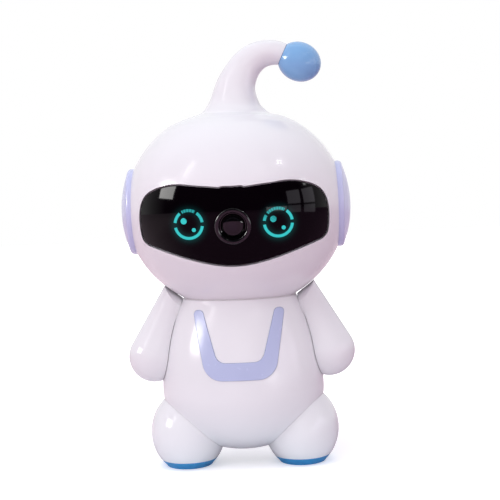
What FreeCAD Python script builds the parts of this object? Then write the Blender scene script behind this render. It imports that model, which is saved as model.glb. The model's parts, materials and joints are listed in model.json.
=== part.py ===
# A desk companion robot: ball head with a curled stalk, egg-shaped torso, two swinging arms, two feet.
# Millimetres, +Z up, the face looks along -Y, and the robot's own left is +X.
import FreeCAD, Part
import math
import os

V = FreeCAD.Vector
X_AXIS = V(1, 0, 0)
Y_AXIS = V(0, 1, 0)
Z_AXIS = V(0, 0, 1)
ORIGIN = V(0, 0, 0)
FAR = 200.0  # reach of the blocks that cut a shape in two
DROP_SEAM = 60.0  # degrees, where an arm's round surface closes
STALK_SEAM = 45.0
SWEEP_SEAM = 150.0

# ---- clearances ----
FIT_GAP = 0.1  # between pieces that are assembled and stay still
RUN_GAP = 0.06  # radial, between a shaft and its bush
MOVE_GAP = 0.35  # between curved faces that pass each other
BUTTON_GAP = 0.15  # round a button or knob in its hole

# ---- torso ----
TORSO_R = 44.0  # belly radius
BELLY_Z = 41.0  # height of the widest ring
TORSO_BOTTOM = 7.5
TORSO_TOP = 90.8
NECK_EDGE_R = 31.0  # radius of the rim under the head
TORSO_WALL = 2.6
DECK_T = 2.4  # flat top that carries the neck

# ---- head ----
HEAD_R = 60.0
HEAD_C = 55.2  # half-height of the ball
HEAD_FLAT = 7.5  # how much of the ball the flat underside cuts off
HEAD_WALL = 2.2
FLOOR_T = 2.5
FLOOR_HOLE_R = 22.0
FLOOR_SKIN = 0.5  # left under the base screws' holes
STALK_FILLET = 5.0  # where the ball turns up into the stalk
STALK_WALL = 1.8
# stalk stations: x, height above the ball's top, radius, lean from upright in degrees
STALK = [
    (0.0, -6.0, 20.5, 0.0),
    (0.0, -1.5, 17.2, 0.0),
    (0.2, 3.4, 13.8, 0.0),
    (1.7, 11.0, 10.8, 22.0),
    (6.4, 18.6, 8.9, 38.0),
    (13.2, 25.2, 7.8, 58.0),
    (20.8, 28.0, 7.1, 88.0),
    (28.6, 26.6, 6.2, 116.0),
]
BALL_R = 10.6
BALL_HALF = 12.0  # along the stalk
BALL_NECK = 9.9  # ball centre to the stalk's end
SPIGOT_L = 2.6
SPIGOT_GAP = 0.9  # the stalk bends round it

# ---- visor, with heights from the ball's centre ----
VISOR_OUTLINE = [
    (17.3, 12.3),
    (29.6, 13.5),
    (39.1, 11.8),
    (45.6, 8.0),
    (48.7, 0.7),
    (48.7, -9.8),
    (46.7, -15.6),
    (40.0, -19.1),
    (17.4, -26.8),
]
VISOR_TOP = 10.8
VISOR_BOTTOM = -29.5
VISOR_HALF_W = 48.7
VISOR_INSET = 0.25  # glossy face below the head's skin
VISOR_T = 2.0
LEDGE_W = 2.5
LEDGE_DEPTH = 4.2
TAB_HALF_W = 5.4
TAB_H = 0.7

# ---- face ----
EYE_X = 22.9
EYE_DROP = 8.1
EYE_R = 7.9
EYE_STROKE = 1.55
EYE_FLANGE_R = 9.8
EYE_FLANGE_T = 1.2
# lit arcs of the robot's right eye and left eye: start and end in degrees, from +X towards +Z
EYE_ARCS = {
    -1: [(192, 352), (8, 52), (62, 118), (128, 172)],
    1: [(188, 354), (8, 52), (62, 138), (148, 172)],
}
PUPIL = (-2.6, 1.75, 1.8)
GLINT = (2.4, -2.8, 1.2)
CAMERA_DROP = 8.3
BEZEL_R = 9.3
BEZEL_PROUD = 0.7
BEZEL_ROUND = 0.8
BEZEL_BACK = 3.2
CAMERA_BORE_R = 7.1
LENS_T = 1.2
LENS_SINK = 0.9
BOARD_DEPTH = 24.0  # face board behind the ball's front
BOARD_T = 1.6
FACE_POSTS = [(18.0, 20.0), (18.0, -30.0)]
POST_R = 3.0
LIGHT_BOX_WALL = 0.8
LAMPS = 6  # behind each eye
LAMP_HALF = 0.8
LAMP_T = 0.7
CAMERA_NOSE_R = 5.9
CAMERA_COLLAR_T = 2.0
CAMERA_BODY_HALF = 8.0
CAMERA_BODY_T = 6.0

# ---- ear pads ----
EAR_R = 23.2
EAR_SINK = 6.5  # seat below the ball's side
EAR_RIM_T = 3.8
EAR_T = 8.7
EAR_ROUND = 2.0
EAR_FLOOR_T = 2.2
EAR_FLOOR_EDGE = 2.3
EAR_PEG_R = 2.5
EAR_PEG_Y = 12.0
EAR_PEG_L = 4.0

# ---- neck ----
WASHER_T = 0.5
WASHER_R = (20.0, 28.0)
TUBE_R = 13.9
TUBE_BORE_R = 10.0
BUSH_WALL = 4.0
BUSH_FLANGE = 3.0
BUSH_FLANGE_T = 2.0
NECK_END_GAP = 0.2
RETAINER_T = 2.5
RETAINER_R = 19.5
LUG_R = 24.5
LUG_HALF_W = 2.0
TURN_LIMIT = 60.0
STOP_HALF_W = 1.0
BASE_R = 27.5
BASE_T = 2.5
RETAINER_SCREWS = 3
BASE_SCREWS = 4

# ---- arms ----
SHOULDER_DROP = 8.6  # swing axis below the torso's top
SHOULDER_OUT = 2.6  # ball centre outside the torso's side
SHOULDER_BALL_R = 8.5
SHOULDER_Y = -1.5
SHOULDER_LIFT = 4.3  # ball centre above the swing axis
HAND_OUT = 5.3  # hand centre outside the torso's side
HAND_Y = -4.5
HAND_R = 14.0
HAND_DROP = 22.2  # hand centre below the swing axis
ARM_WALL = 2.2
COVER_T = 2.0
COVER_LIP = 1.0
HUB_R = 8.6
HUB_CORE_R = 6.1
HUB_RECESS = 4.3
HUB_BOSS_R = 11.0
HUB_BOSS_T = 5.5
SHAFT_R = 2.5
SHAFT_BURY = 5.1  # shaft's reach past the shoulder ball's centre
SHAFT_BUSH_WALL = 2.0
SHAFT_FLANGE_EDGE = 1.5
SHAFT_FLANGE_T = 1.2
END_PLAY = 0.2
ARM_WASHER_R = 5.5
ARM_WASHER_T = 1.0
ARM_SCREW_R = 1.2
ARM_SCREW_HEAD_R = 3.2
ARM_SCREW_HEAD_T = 1.8
ARM_SCREW_L = 9.0
HEAD_TURNS = (0.0, 20.0, 35.0)  # degrees of arm swing at which the head trims the arm's top edge

# ---- feet ----
FOOT_IN = 13.2  # foot centre inside the belly's side
FOOT_Y = -4.0
FOOT_Z = 18.5
FOOT_AXES = (20.2, 26.0, 22.7)
FOOT_WALL = 2.4
SOLE_T = 4.0
SOLE_PLUG = 3.0
SOLE_ROUND = 0.8
FOOT_SCREW_Z = 24.0
FOOT_BOSS_R = 3.6
FOOT_SEAT_T = 4.9  # under the screw's head, from the torso's side
FOOT_SCREW_R = 1.3
FOOT_SCREW_L = 12.0
FOOT_HEAD_R = 2.6
FOOT_HEAD_T = 1.8

# ---- belly trim ----
TRIM_DROP = 4.8  # arms' ends below the torso's top
TRIM_RISE = 9.0  # bar above the belly's widest ring
TRIM_OUT_TOP = 24.3
TRIM_OUT_BOTTOM = 18.2
TRIM_IN_TOP = 19.1
TRIM_IN_BOTTOM = 11.7
TRIM_BAR_W = 9.1
TRIM_OUT_ROUND = 10.0
TRIM_IN_ROUND = 5.5
TRIM_END_ROUND = 2.2
TRIM_PROUD = 0.5
TRIM_SINK = 1.2
TRIM_PEG_R = 1.5
TRIM_PEG_L = 2.8

# ---- small screws in boards and rings ----
SMALL_SCREW_R = 0.9
SMALL_HEAD_R = 1.8
SMALL_HEAD_T = 1.2
SMALL_GRIP = 4.0

# ---- screws that close the shells ----
SCREW_R = 1.5
SCREW_HEAD_R = 2.8
SCREW_HEAD_T = 1.8
SCREW_SEAT = 10.0  # head's seat behind the seam
SCREW_REACH = 10.0  # into the front shell
SCREW_BOSS_R = 3.5
SLOT_HALF_L = 2.0
SLOT_HALF_W = 0.35
SLOT_DEPTH = 0.8
HEAD_SCREWS = [(30.0, 25.0), (34.0, -28.0)]  # x, height from the ball's centre
TORSO_SCREWS = [(22.0, 70.0), (28.0, 36.0)]  # x, height

# ---- speaker ----
SPEAKER_Z = 67.0
SPEAKER_R = 15.5
SPEAKER_BACK = 1.6  # room between its rim and the torso's wall
SPEAKER_SEAT_W = 2.0
SPEAKER_RIM_T = 1.5
BASKET_DEPTH = 9.0
BASKET_T = 1.2
MAGNET_R = 8.0
MAGNET_T = 6.0
COIL_R = 4.0
CONE_T = 0.6
CONE_EDGE = 2.2  # cone's edge inside the rim
GRILLE_R = 0.9
GRILLE_PITCH = 3.6
GRILLE_RINGS = 3

# ---- main board and what it carries ----
PCB_BACK = 1.8  # room between its lower corners and the torso's wall
PCB_HALF_W = 17.0
PCB_Z = (28.0, 49.0)
PCB_POST = (14.8, 38.4)
PCB_POST_R = 2.2
CHIP_HALF_W = 7.0
CHIP_Z = (31.0, 45.0)
CHIP_T = 1.4
BUTTON_Z = 44.0
BUTTON_X = {"volume_down_button": -11.0, "play_button": 0.0, "volume_up_button": 11.0}
BUTTON_R = 3.6
BUTTON_FLANGE = 0.9
BUTTON_PROUD = 0.8
BUTTON_TRAVEL = 0.7
BUTTON_ROUND = 0.6
BUTTON_FLANGE_T = 1.0
BUTTON_PAD_T = 2.5
BUTTON_PAD_EDGE = 1.0
PUSH_HALF_W = 3.0  # push switch behind a button
PUSH_STEM_R = 1.6
PUSH_STEM_L = 0.8
PORT_X = -9.0
PORT_Z = 33.0
PORT_SIZE = (8.94, 3.26)
PORT_WALL = 0.35
PORT_SHORT = 0.8  # mouth below the shell's skin
TONGUE_HALF_W = 3.3
TONGUE_HALF_T = 0.35
KNOB_X = 7.5
KNOB_TRAVEL = 3.0
KNOB_SIZE = (3.2, 2.4)
KNOB_PROUD = 0.4
KNOB_PLATE_X = 1.8  # how far its plate reaches past the stem
KNOB_PLATE_Z = 0.8
KNOB_PLATE_T = 0.8
SWITCH_SIZE = (8.6, 3.6, 3.2)
BATTERY = (44.0, 30.0, 10.0)
BATTERY_ROUND = 1.5
TRAY_RISE = 12.0  # tray's floor above the torso's bottom
TRAY_WALL = 1.5
TRAY_RIM = 5.0
TRAY_RIB_X = 16.0
TRAY_RIB_T = 2.0

# ---- sizes that follow ----
BEND_RUN = TORSO_R - NECK_EDGE_R
BEND_RISE = TORSO_TOP - BELLY_Z
BEND_R = (BEND_RUN**2 + BEND_RISE**2) / (2 * BEND_RUN)  # arc of the torso's flank


def torso_radius(z, grow=0.0):
    """Outer radius of the torso at a height, with the skin moved outwards by grow."""
    if z >= BELLY_Z:
        return TORSO_R - BEND_R + math.sqrt((BEND_R + grow) ** 2 - (z - BELLY_Z) ** 2)
    return (TORSO_R + grow) * math.sqrt(1 - ((BELLY_Z - z) / (BELLY_Z - TORSO_BOTTOM + grow)) ** 2)


def skin_y(x, z, grow=0.0):
    """Depth of the torso's back at a point."""
    return math.sqrt(torso_radius(z, grow) ** 2 - x**2)


HEAD_BASE = TORSO_TOP + WASHER_T
HEAD_Z = HEAD_BASE + HEAD_C - HEAD_FLAT
CROWN_Z = HEAD_Z + HEAD_C
BOARD_Y = BOARD_DEPTH - HEAD_R
EAR_SEAT_X = HEAD_R - EAR_SINK
EAR_RIM_X = EAR_SEAT_X + EAR_RIM_T
EAR_TOP_X = EAR_SEAT_X + EAR_T
DECK_Z = TORSO_TOP - DECK_T
NECK_BORE_R = TUBE_R + FIT_GAP
NECK_BUSH_R = NECK_BORE_R + BUSH_WALL
BUSH_BOTTOM = DECK_Z - BUSH_FLANGE_T
TUBE_END = BUSH_BOTTOM - NECK_END_GAP
SHOULDER_Z = TORSO_TOP - SHOULDER_DROP
SHOULDER_X = torso_radius(SHOULDER_Z) + SHOULDER_OUT
HAND_Z = SHOULDER_Z - HAND_DROP
HAND_X = torso_radius(HAND_Z) + HAND_OUT
HUB_X = torso_radius(SHOULDER_Z) - HUB_RECESS
HUB_BOSS_X = HUB_X - HUB_BOSS_T
SHAFT_IN_X = HUB_BOSS_X - SHAFT_FLANGE_T - END_PLAY
SHAFT_OUT_X = SHOULDER_X + SHAFT_BURY
SHAFT_BUSH_R = SHAFT_R + SHAFT_BUSH_WALL
SHAFT_FLANGE_R = SHAFT_BUSH_R + SHAFT_FLANGE_EDGE
FOOT_X = TORSO_R - FOOT_IN
FOOT_SEAT_X = torso_radius(FOOT_SCREW_Z) + FOOT_SEAT_T
TRIM_TOP = TORSO_TOP - TRIM_DROP
TRIM_BOTTOM = BELLY_Z + TRIM_RISE
TRIM_BAR_TOP = TRIM_BOTTOM + TRIM_BAR_W
SPEAKER_Y = torso_radius(SPEAKER_Z + SPEAKER_R) - TORSO_WALL - SPEAKER_BACK
BASKET_Y = SPEAKER_Y - BASKET_DEPTH
PCB_Y = skin_y(PCB_HALF_W, PCB_Z[0], -TORSO_WALL) - PCB_BACK
PAD_HALF_W = max(BUTTON_X.values()) + BUTTON_R + BUTTON_FLANGE + BUTTON_PAD_EDGE
PAD_HALF_H = BUTTON_R + BUTTON_FLANGE + BUTTON_PAD_EDGE
BUTTON_PAD_Y = skin_y(PAD_HALF_W, BUTTON_Z) - BUTTON_PAD_T
TRAY_Z = TORSO_BOTTOM + TRAY_RISE


# ---------------------------------------------------------------- helpers
def fused(shapes):
    body = shapes[0]
    for shape in shapes[1:]:
        body = body.fuse(shape)
    return body


def without(body, tools):
    for tool in tools:
        body = body.cut(tool)
    return body


def mirrored(shape):
    return shape.mirror(ORIGIN, X_AXIS)


def rod(radius, start, end):
    """Cylinder between two points."""
    run = end.sub(start)
    return Part.makeCylinder(radius, run.Length, start, run)


def rod_x(radius, x0, x1, y, z):
    return rod(radius, V(x0, y, z), V(x1, y, z))


def rod_y(radius, y0, y1, x, z):
    return rod(radius, V(x, y0, z), V(x, y1, z))


def rod_z(radius, z0, z1, x=0.0, y=0.0):
    return rod(radius, V(x, y, z0), V(x, y, z1))


def block(x, y, z):
    """Box from three pairs of limits."""
    size = [pair[1] - pair[0] for pair in (x, y, z)]
    return Part.makeBox(size[0], size[1], size[2], V(x[0], y[0], z[0]))


def half(shape, side):
    """The part of a shape in front of (-1) or behind (+1) the seam."""
    limits = (-FAR, 0.0) if side < 0 else (0.0, FAR)
    return shape.common(block((-FAR, FAR), limits, (-FAR, 2 * FAR)))


def oval_arc(a, c, z, low, high):
    """Arc of an upright ellipse in the XZ plane, between two ellipse angles."""
    centre = V(0, 0, z)
    if a >= c:
        curve = Part.Ellipse(V(a, 0, z), V(0, 0, z + c), centre)
        return Part.ArcOfEllipse(curve, low, high).toShape()
    curve = Part.Ellipse(V(0, 0, z + c), V(a, 0, z), centre)
    return Part.ArcOfEllipse(curve, math.pi / 2 - high, math.pi / 2 - low).toShape()


def line(p, q):
    return Part.makeLine(p, q)


def turned(edges, side=0):
    """Profile turned about the Z axis: the front half (-1), the back half (+1) or all round (0)."""
    face = Part.Face(Part.Wire(edges))
    if side == 0:
        face.rotate(ORIGIN, Z_AXIS, 90)
        return face.revolve(ORIGIN, Z_AXIS, 360)
    return face.revolve(ORIGIN, Z_AXIS * side, 180)


def ellipsoid(radii, centre):
    ball = Part.makeSphere(1.0)
    shape = FreeCAD.Matrix()
    shape.scale(V(*radii))
    shape.move(centre)
    return ball.transformGeometry(shape)


def prism_y(wire, y0=-FAR, y1=0.0):
    """Slab of an XZ outline between two depths."""
    slab = Part.Face(wire).extrude(V(0, y1 - y0, 0))
    slab.translate(V(0, y0, 0))
    return slab


def save(name, shape):
    solids = shape.Solids
    body = solids[0] if len(solids) == 1 else Part.makeCompound(solids)
    body.exportStep("parts/%s.step" % name)


def save_wall(name, shape):
    """A free-form wall goes out as NURBS, so that every reader closes it the same way."""
    save(name, shape.Solids[0].toNurbs())


# ---------------------------------------------------------------- head surfaces
def head_ball(inset=0.0, side=0):
    """The head's oval ball or half of it, moved inwards by inset."""
    a = HEAD_R - inset
    c = HEAD_C - inset
    arc = oval_arc(a, c, HEAD_Z, -math.pi / 2, math.pi / 2)
    return turned([arc, line(V(0, 0, HEAD_Z + c), V(0, 0, HEAD_Z - c))], side)


def face_skin(outer, inner):
    """Layer of the ball's front half between two depths below its surface."""
    return head_ball(outer, -1).cut(head_ball(inner, -1))


def stalk_ring(station, inset):
    """One of the stalk's round sections."""
    x, rise, radius, lean = station
    ring = Part.Wire(Part.makeCircle(radius - inset))
    ring.rotate(ORIGIN, Z_AXIS, STALK_SEAM)
    ring.rotate(ORIGIN, Y_AXIS, lean)
    ring.translate(V(x, 0, CROWN_Z + rise))
    return ring


def head_body(inset, stalk_inset):
    """The ball with its curled stalk and the fillet between them."""
    stalk = Part.makeLoft([stalk_ring(s, stalk_inset) for s in STALK], True, False)
    body = head_ball(inset).fuse(stalk)
    wide = [e for e in body.Edges if e.BoundBox.XLength > BALL_R]
    root = [e for e in wide if abs(e.BoundBox.Center.z - CROWN_Z) < STALK_FILLET]
    return body.makeFillet(STALK_FILLET, root)


# ---------------------------------------------------------------- visor outline
def visor_wire(grow):
    """Closed visor outline, spread evenly by grow."""
    mid = (VISOR_TOP + VISOR_BOTTOM) / 2
    wide = (VISOR_HALF_W + grow) / VISOR_HALF_W
    tall = ((VISOR_TOP - VISOR_BOTTOM) / 2 + grow) / ((VISOR_TOP - VISOR_BOTTOM) / 2)
    right = [(0.0, VISOR_TOP)] + VISOR_OUTLINE + [(0.0, VISOR_BOTTOM)]
    left = [(-x, z) for x, z in reversed(VISOR_OUTLINE)]
    points = [V(x * wide, 0, HEAD_Z + mid + (z - mid) * tall) for x, z in right + left]
    curve = Part.BSplineCurve()
    curve.interpolate(Points=points, PeriodicFlag=True)
    return Part.Wire(curve.toShape())


def visor_prism(grow):
    """Visor outline with the small sensor tab on its upper edge, through the front of the head."""
    slab = prism_y(visor_wire(grow))
    top = HEAD_Z + VISOR_TOP + TAB_H + grow
    tab = block((-TAB_HALF_W - grow, TAB_HALF_W + grow), (-FAR, 0.0), (top - 3.0, top))
    return slab.fuse(tab)


# ---------------------------------------------------------------- face
def eye_centre(side):
    return V(side * EYE_X, 0, HEAD_Z - EYE_DROP)


def ring_sector(inner, outer, start, end, centre):
    """Flat sector of a ring in the XZ plane, angles from +X towards +Z."""
    def at(radius, degrees):
        angle = math.radians(degrees)
        return centre.add(V(radius * math.cos(angle), 0, radius * math.sin(angle)))

    middle = (start + end) / 2
    edges = [
        Part.Arc(at(outer, start), at(outer, middle), at(outer, end)).toShape(),
        line(at(outer, end), at(inner, end)),
        Part.Arc(at(inner, end), at(inner, middle), at(inner, start)).toShape(),
        line(at(inner, start), at(outer, start)),
    ]
    return Part.Wire(edges)


def eye_marks(side, gap):
    """Prisms of one eye's lit arcs and dots, widened by gap."""
    centre = eye_centre(side)
    outer = EYE_R + gap
    inner = EYE_R - EYE_STROKE - gap
    wider = math.degrees(gap / EYE_R)
    marks = [prism_y(ring_sector(inner, outer, a - wider, b + wider, centre)) for a, b in EYE_ARCS[side]]
    for x, z, radius in (PUPIL, GLINT):
        marks.append(rod_y(radius + gap, -FAR, 0.0, centre.x + x, centre.z + z))
    return Part.makeCompound(marks)


def visor():
    plate = face_skin(VISOR_INSET, VISOR_INSET + VISOR_T).common(visor_prism(-FIT_GAP))
    camera_hole = camera_rod(BEZEL_R + FIT_GAP / 2, -9.0, 9.0)
    return without(plate, [camera_hole, eye_marks(-1, FIT_GAP / 2), eye_marks(1, FIT_GAP / 2)])


def eye_guide(side):
    """Clear moulding: raised arcs and dots that fill the visor's slots, on one back plate."""
    back = VISOR_INSET + VISOR_T + FIT_GAP
    centre = eye_centre(side)
    disc = rod_y(EYE_FLANGE_R, -FAR, 0.0, centre.x, centre.z)
    plate = face_skin(back, back + EYE_FLANGE_T).common(disc)
    raised = face_skin(VISOR_INSET, back + EYE_FLANGE_T / 2).common(eye_marks(side, 0.0))
    return plate.fuse(raised)


def light_box(side):
    """Tube that keeps one eye's light to itself, between the guide and the face board."""
    centre = eye_centre(side)
    tube = rod_y(EYE_FLANGE_R, -FAR, BOARD_Y, centre.x, centre.z)
    bore = rod_y(EYE_FLANGE_R - LIGHT_BOX_WALL, -FAR, BOARD_Y, centre.x, centre.z)
    front = VISOR_INSET + VISOR_T + EYE_FLANGE_T + 2 * FIT_GAP
    return tube.cut(bore).common(head_ball(front, -1))


def face_posts():
    """Places of the four posts behind the visor."""
    return [(side * x, HEAD_Z + z) for x, z in FACE_POSTS for side in (-1, 1)]


def face_board():
    """Cross-shaped board with a hole over each post."""
    edge = POST_R + 1.0
    wide = max(x for x, z in face_posts()) + edge
    upper = max(z for x, z in face_posts()) + edge
    lower = min(z for x, z in face_posts()) - edge
    depth = (BOARD_Y, BOARD_Y + BOARD_T)
    tall = block((-wide, wide), depth, (lower, upper))
    reach = EYE_X + EYE_FLANGE_R
    rows = (HEAD_Z - EYE_DROP - EYE_FLANGE_R, HEAD_Z - EYE_DROP + EYE_FLANGE_R)
    board = tall.fuse(block((-reach, reach), depth, rows))
    holes = [rod_y(SMALL_SCREW_R + FIT_GAP, -FAR, 0.0, x, z) for x, z in face_posts()]
    return without(board, holes)


def small_screw(x, z, seat, into):
    """Screw along Y with its head's underside at seat, pointing forwards (-1) or backwards (1)."""
    head = rod_y(SMALL_HEAD_R, seat, seat - into * SMALL_HEAD_T, x, z)
    return head.fuse(rod_y(SMALL_SCREW_R, seat, seat + into * (BOARD_T + SMALL_GRIP), x, z))


def face_board_screws():
    return Part.makeCompound([small_screw(x, z, BOARD_Y + BOARD_T, -1) for x, z in face_posts()])


def eye_lamps():
    """Small lamps on the board, in a ring behind each eye."""
    lamps = []
    ring = EYE_R - EYE_STROKE
    for side in (-1, 1):
        centre = eye_centre(side)
        for turn in range(LAMPS):
            angle = 2 * math.pi * (turn + 0.5) / LAMPS
            x = centre.x + ring * math.cos(angle)
            z = centre.z + ring * math.sin(angle)
            rows = (z - LAMP_HALF, z + LAMP_HALF)
            lamps.append(block((x - LAMP_HALF, x + LAMP_HALF), (BOARD_Y - LAMP_T, BOARD_Y), rows))
    return Part.makeCompound(lamps)


def camera_rod(radius, d0, d1):
    """Cylinder along the camera's axis, square to the visor, between two depths below its surface."""
    y = -HEAD_R * math.sqrt(1 - (CAMERA_DROP / HEAD_C) ** 2)
    inward = V(0, -y / HEAD_R**2, CAMERA_DROP / HEAD_C**2).normalize()
    start = V(0, y, HEAD_Z - CAMERA_DROP).add(inward * VISOR_INSET)
    return rod(radius, start.add(inward * d0), start.add(inward * d1))


def camera_bezel():
    """Raised ring round the lens."""
    ring = camera_rod(BEZEL_R, -BEZEL_PROUD, BEZEL_BACK)
    outer = max(ring.Edges, key=lambda e: -e.CenterOfMass.y)
    ring = ring.makeFillet(BEZEL_ROUND, [outer]).cut(camera_rod(CAMERA_BORE_R, -9.0, 9.0))
    bore_length = 2 * math.pi * CAMERA_BORE_R
    inner = min(ring.Edges, key=lambda e: e.CenterOfMass.y + abs(e.Length - bore_length) / 10)
    return ring.makeFillet(BEZEL_ROUND, [inner])


def camera_lens():
    return camera_rod(CAMERA_BORE_R - FIT_GAP / 2, LENS_SINK, LENS_SINK + LENS_T)


def camera_module():
    """Barrel behind the lens, collar behind the bezel, and the box on the board."""
    z = HEAD_Z - CAMERA_DROP
    half_w = CAMERA_BODY_HALF
    body = block((-half_w, half_w), (BOARD_Y - CAMERA_BODY_T, BOARD_Y), (z - half_w, z + half_w))
    collar = camera_rod(BEZEL_R, BEZEL_BACK, BEZEL_BACK + CAMERA_COLLAR_T)
    barrel = camera_rod(CAMERA_NOSE_R, LENS_SINK + LENS_T, BOARD_DEPTH)
    barrel = barrel.common(block((-FAR, FAR), (-FAR, BOARD_Y - CAMERA_BODY_T / 2), (0.0, 2 * FAR)))
    return fused([barrel, collar, body])


# ---------------------------------------------------------------- ear pads
def ear_profile_solid():
    """Disc with a domed face and a rounded rim, on the robot's left."""
    sag = EAR_TOP_X - EAR_RIM_X
    dome_r = (EAR_R**2 + sag**2) / (2 * sag)
    disc = rod_x(EAR_R, EAR_SEAT_X, EAR_TOP_X + 1.0, 0.0, HEAD_Z)
    cap = disc.common(Part.makeSphere(dome_r, V(EAR_TOP_X - dome_r, 0, HEAD_Z)))
    rim = [e for e in cap.Edges if abs(e.BoundBox.XMin - EAR_RIM_X) < 0.01 and e.BoundBox.XLength < 0.01]
    return cap.makeFillet(EAR_ROUND, rim)


def ear_pad():
    start = EAR_SEAT_X - EAR_PEG_L
    pegs = [rod_x(EAR_PEG_R, start, EAR_SEAT_X, y, HEAD_Z) for y in (-EAR_PEG_Y, EAR_PEG_Y)]
    return fused([ear_profile_solid()] + pegs)


def ear_floor(side):
    """Thickened disc of the head's wall behind a pad."""
    disc = rod_x(EAR_R + EAR_FLOOR_EDGE, EAR_SEAT_X - EAR_FLOOR_T, EAR_SEAT_X, 0.0, HEAD_Z)
    return disc.common(head_ball(HEAD_WALL / 3, side))


def ear_cuts():
    """Pocket for a pad and the holes for its pegs."""
    start = EAR_SEAT_X - EAR_FLOOR_T - 1.0
    pocket = rod_x(EAR_R + FIT_GAP, EAR_SEAT_X, FAR, 0.0, HEAD_Z)
    holes = [rod_x(EAR_PEG_R + FIT_GAP, start, EAR_SEAT_X + 1, y, HEAD_Z) for y in (-EAR_PEG_Y, EAR_PEG_Y)]
    return fused([pocket] + holes)


# ---------------------------------------------------------------- head shells
def head_half(side):
    """One head shell's wall with its floor, ear floors and ear pockets."""
    wall = half(head_body(0.0, 0.0).cut(head_body(HEAD_WALL, STALK_WALL)), side)
    floor = rod_z(HEAD_R, HEAD_BASE, HEAD_BASE + FLOOR_T).common(head_ball(HEAD_WALL / 2, side))
    floor = floor.cut(rod_z(FLOOR_HOLE_R, HEAD_BASE - 1, HEAD_BASE + FLOOR_T + 1))
    ears = [half(ear_floor(side), side), half(mirrored(ear_floor(side)), side)]
    below = block((-FAR, FAR), (-FAR, FAR), (-FAR, HEAD_BASE))
    pilots = floor_screw_rods(SCREW_R + FIT_GAP, HEAD_BASE + FLOOR_SKIN, HEAD_BASE + FLOOR_T + 1)
    return without(fused([wall, floor] + ears), [below, ear_cuts(), mirrored(ear_cuts())] + pilots)


def screw_bosses(places, side, wall_solid):
    """Posts that meet at the seam, bored for the closing screws."""
    posts = []
    for x, z in places:
        for hand in (-1, 1):
            posts.append(rod_y(SCREW_BOSS_R, side * FAR, 0.0, hand * x, z))
    return [post.common(wall_solid) for post in posts]


def screw_bores(places, side):
    bores = []
    for x, z in places:
        for hand in (-1, 1):
            if side > 0:
                bores.append(rod_y(SCREW_R + FIT_GAP, -1.0, SCREW_SEAT + 1.0, hand * x, z))
                bores.append(rod_y(SCREW_HEAD_R + FIT_GAP, SCREW_SEAT, FAR, hand * x, z))
            else:
                bores.append(rod_y(SCREW_R + FIT_GAP / 2, -SCREW_REACH - 1.0, 1.0, hand * x, z))
    return bores


def closing_screws(places):
    screws = []
    for x, z in places:
        for hand in (-1, 1):
            head = rod_y(SCREW_HEAD_R, SCREW_SEAT, SCREW_SEAT + SCREW_HEAD_T, hand * x, z)
            across_x = (hand * x - SLOT_HALF_L, hand * x + SLOT_HALF_L)
            depth = (SCREW_SEAT + SCREW_HEAD_T - SLOT_DEPTH, FAR)
            slot = block(across_x, depth, (z - SLOT_HALF_W, z + SLOT_HALF_W))
            shank = rod_y(SCREW_R, -SCREW_REACH, SCREW_SEAT, hand * x, z)
            screws.append(head.cut(slot).fuse(shank))
    return Part.makeCompound(screws)


def head_places():
    return [(x, HEAD_Z + z) for x, z in HEAD_SCREWS]


def head_front_shell():
    shell = head_half(-1)
    frame = visor_prism(LEDGE_W).cut(visor_prism(-LEDGE_W))
    ledge = face_skin(0.7 * HEAD_WALL, LEDGE_DEPTH).common(frame)
    inside = head_ball(HEAD_WALL / 2, -1)
    posts = [rod_y(POST_R, -FAR, BOARD_Y, x, z).common(inside) for x, z in face_posts()]
    shell = fused([shell, ledge] + posts + screw_bosses(head_places(), -1, inside))
    window = visor_prism(0.0).cut(head_ball(VISOR_INSET + VISOR_T + FIT_GAP, -1))
    pilot = SMALL_SCREW_R + FIT_GAP / 2
    end = BOARD_Y - SMALL_GRIP - 1.0
    cuts = [window] + screw_bores(head_places(), -1)
    cuts += [rod_y(pilot, end, BOARD_Y + 1, x, z) for x, z in face_posts()]
    return without(shell, cuts)


def head_rear_shell():
    shell = head_half(1)
    shell = fused([shell] + screw_bosses(head_places(), 1, head_ball(HEAD_WALL / 2, 1)))
    return without(shell, screw_bores(head_places(), 1))


def antenna_ball():
    """Light ball with a spigot in the stalk's open end."""
    x, rise, radius, lean = STALK[-1]
    arc = oval_arc(BALL_R, BALL_HALF, BALL_NECK, -math.pi / 2, math.pi / 2)
    ball = turned([arc, line(V(0, 0, BALL_NECK + BALL_HALF), V(0, 0, BALL_NECK - BALL_HALF))])
    ball = ball.common(rod_z(2 * BALL_R, 0.0, BALL_NECK + BALL_HALF + 1))
    spigot = rod_z(radius - STALK_WALL - SPIGOT_GAP, -SPIGOT_L, 1.0)
    tip = ball.fuse(spigot)
    tip.rotate(ORIGIN, Y_AXIS, lean)
    tip.translate(V(x, 0, CROWN_Z + rise))
    return tip


# ---------------------------------------------------------------- neck
def head_base():
    """Plate on the head's floor with the hollow tube that turns in the torso."""
    plate = rod_z(BASE_R, HEAD_BASE + FLOOR_T, HEAD_BASE + FLOOR_T + BASE_T)
    tube = rod_z(TUBE_R, TUBE_END, HEAD_BASE + FLOOR_T + 1)
    floor = HEAD_BASE + FLOOR_T
    bore = rod_z(TUBE_BORE_R, TUBE_END - 1, floor + BASE_T + 1)
    pilots = retainer_rods(SMALL_SCREW_R + FIT_GAP / 2, TUBE_END - 1, SMALL_GRIP + 2)
    floor_holes = floor_screw_rods(SCREW_R + FIT_GAP, floor - 1, floor + BASE_T + 1)
    return without(plate.fuse(tube), [bore] + pilots + floor_holes)


def floor_screw_rods(radius, z0, z1):
    reach = (BASE_R + FLOOR_HOLE_R) / 2
    rods = []
    for turn in range(BASE_SCREWS):
        angle = 2 * math.pi * (turn + 0.5) / BASE_SCREWS
        rods.append(rod_z(radius, z0, z1, reach * math.cos(angle), reach * math.sin(angle)))
    return rods


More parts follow.
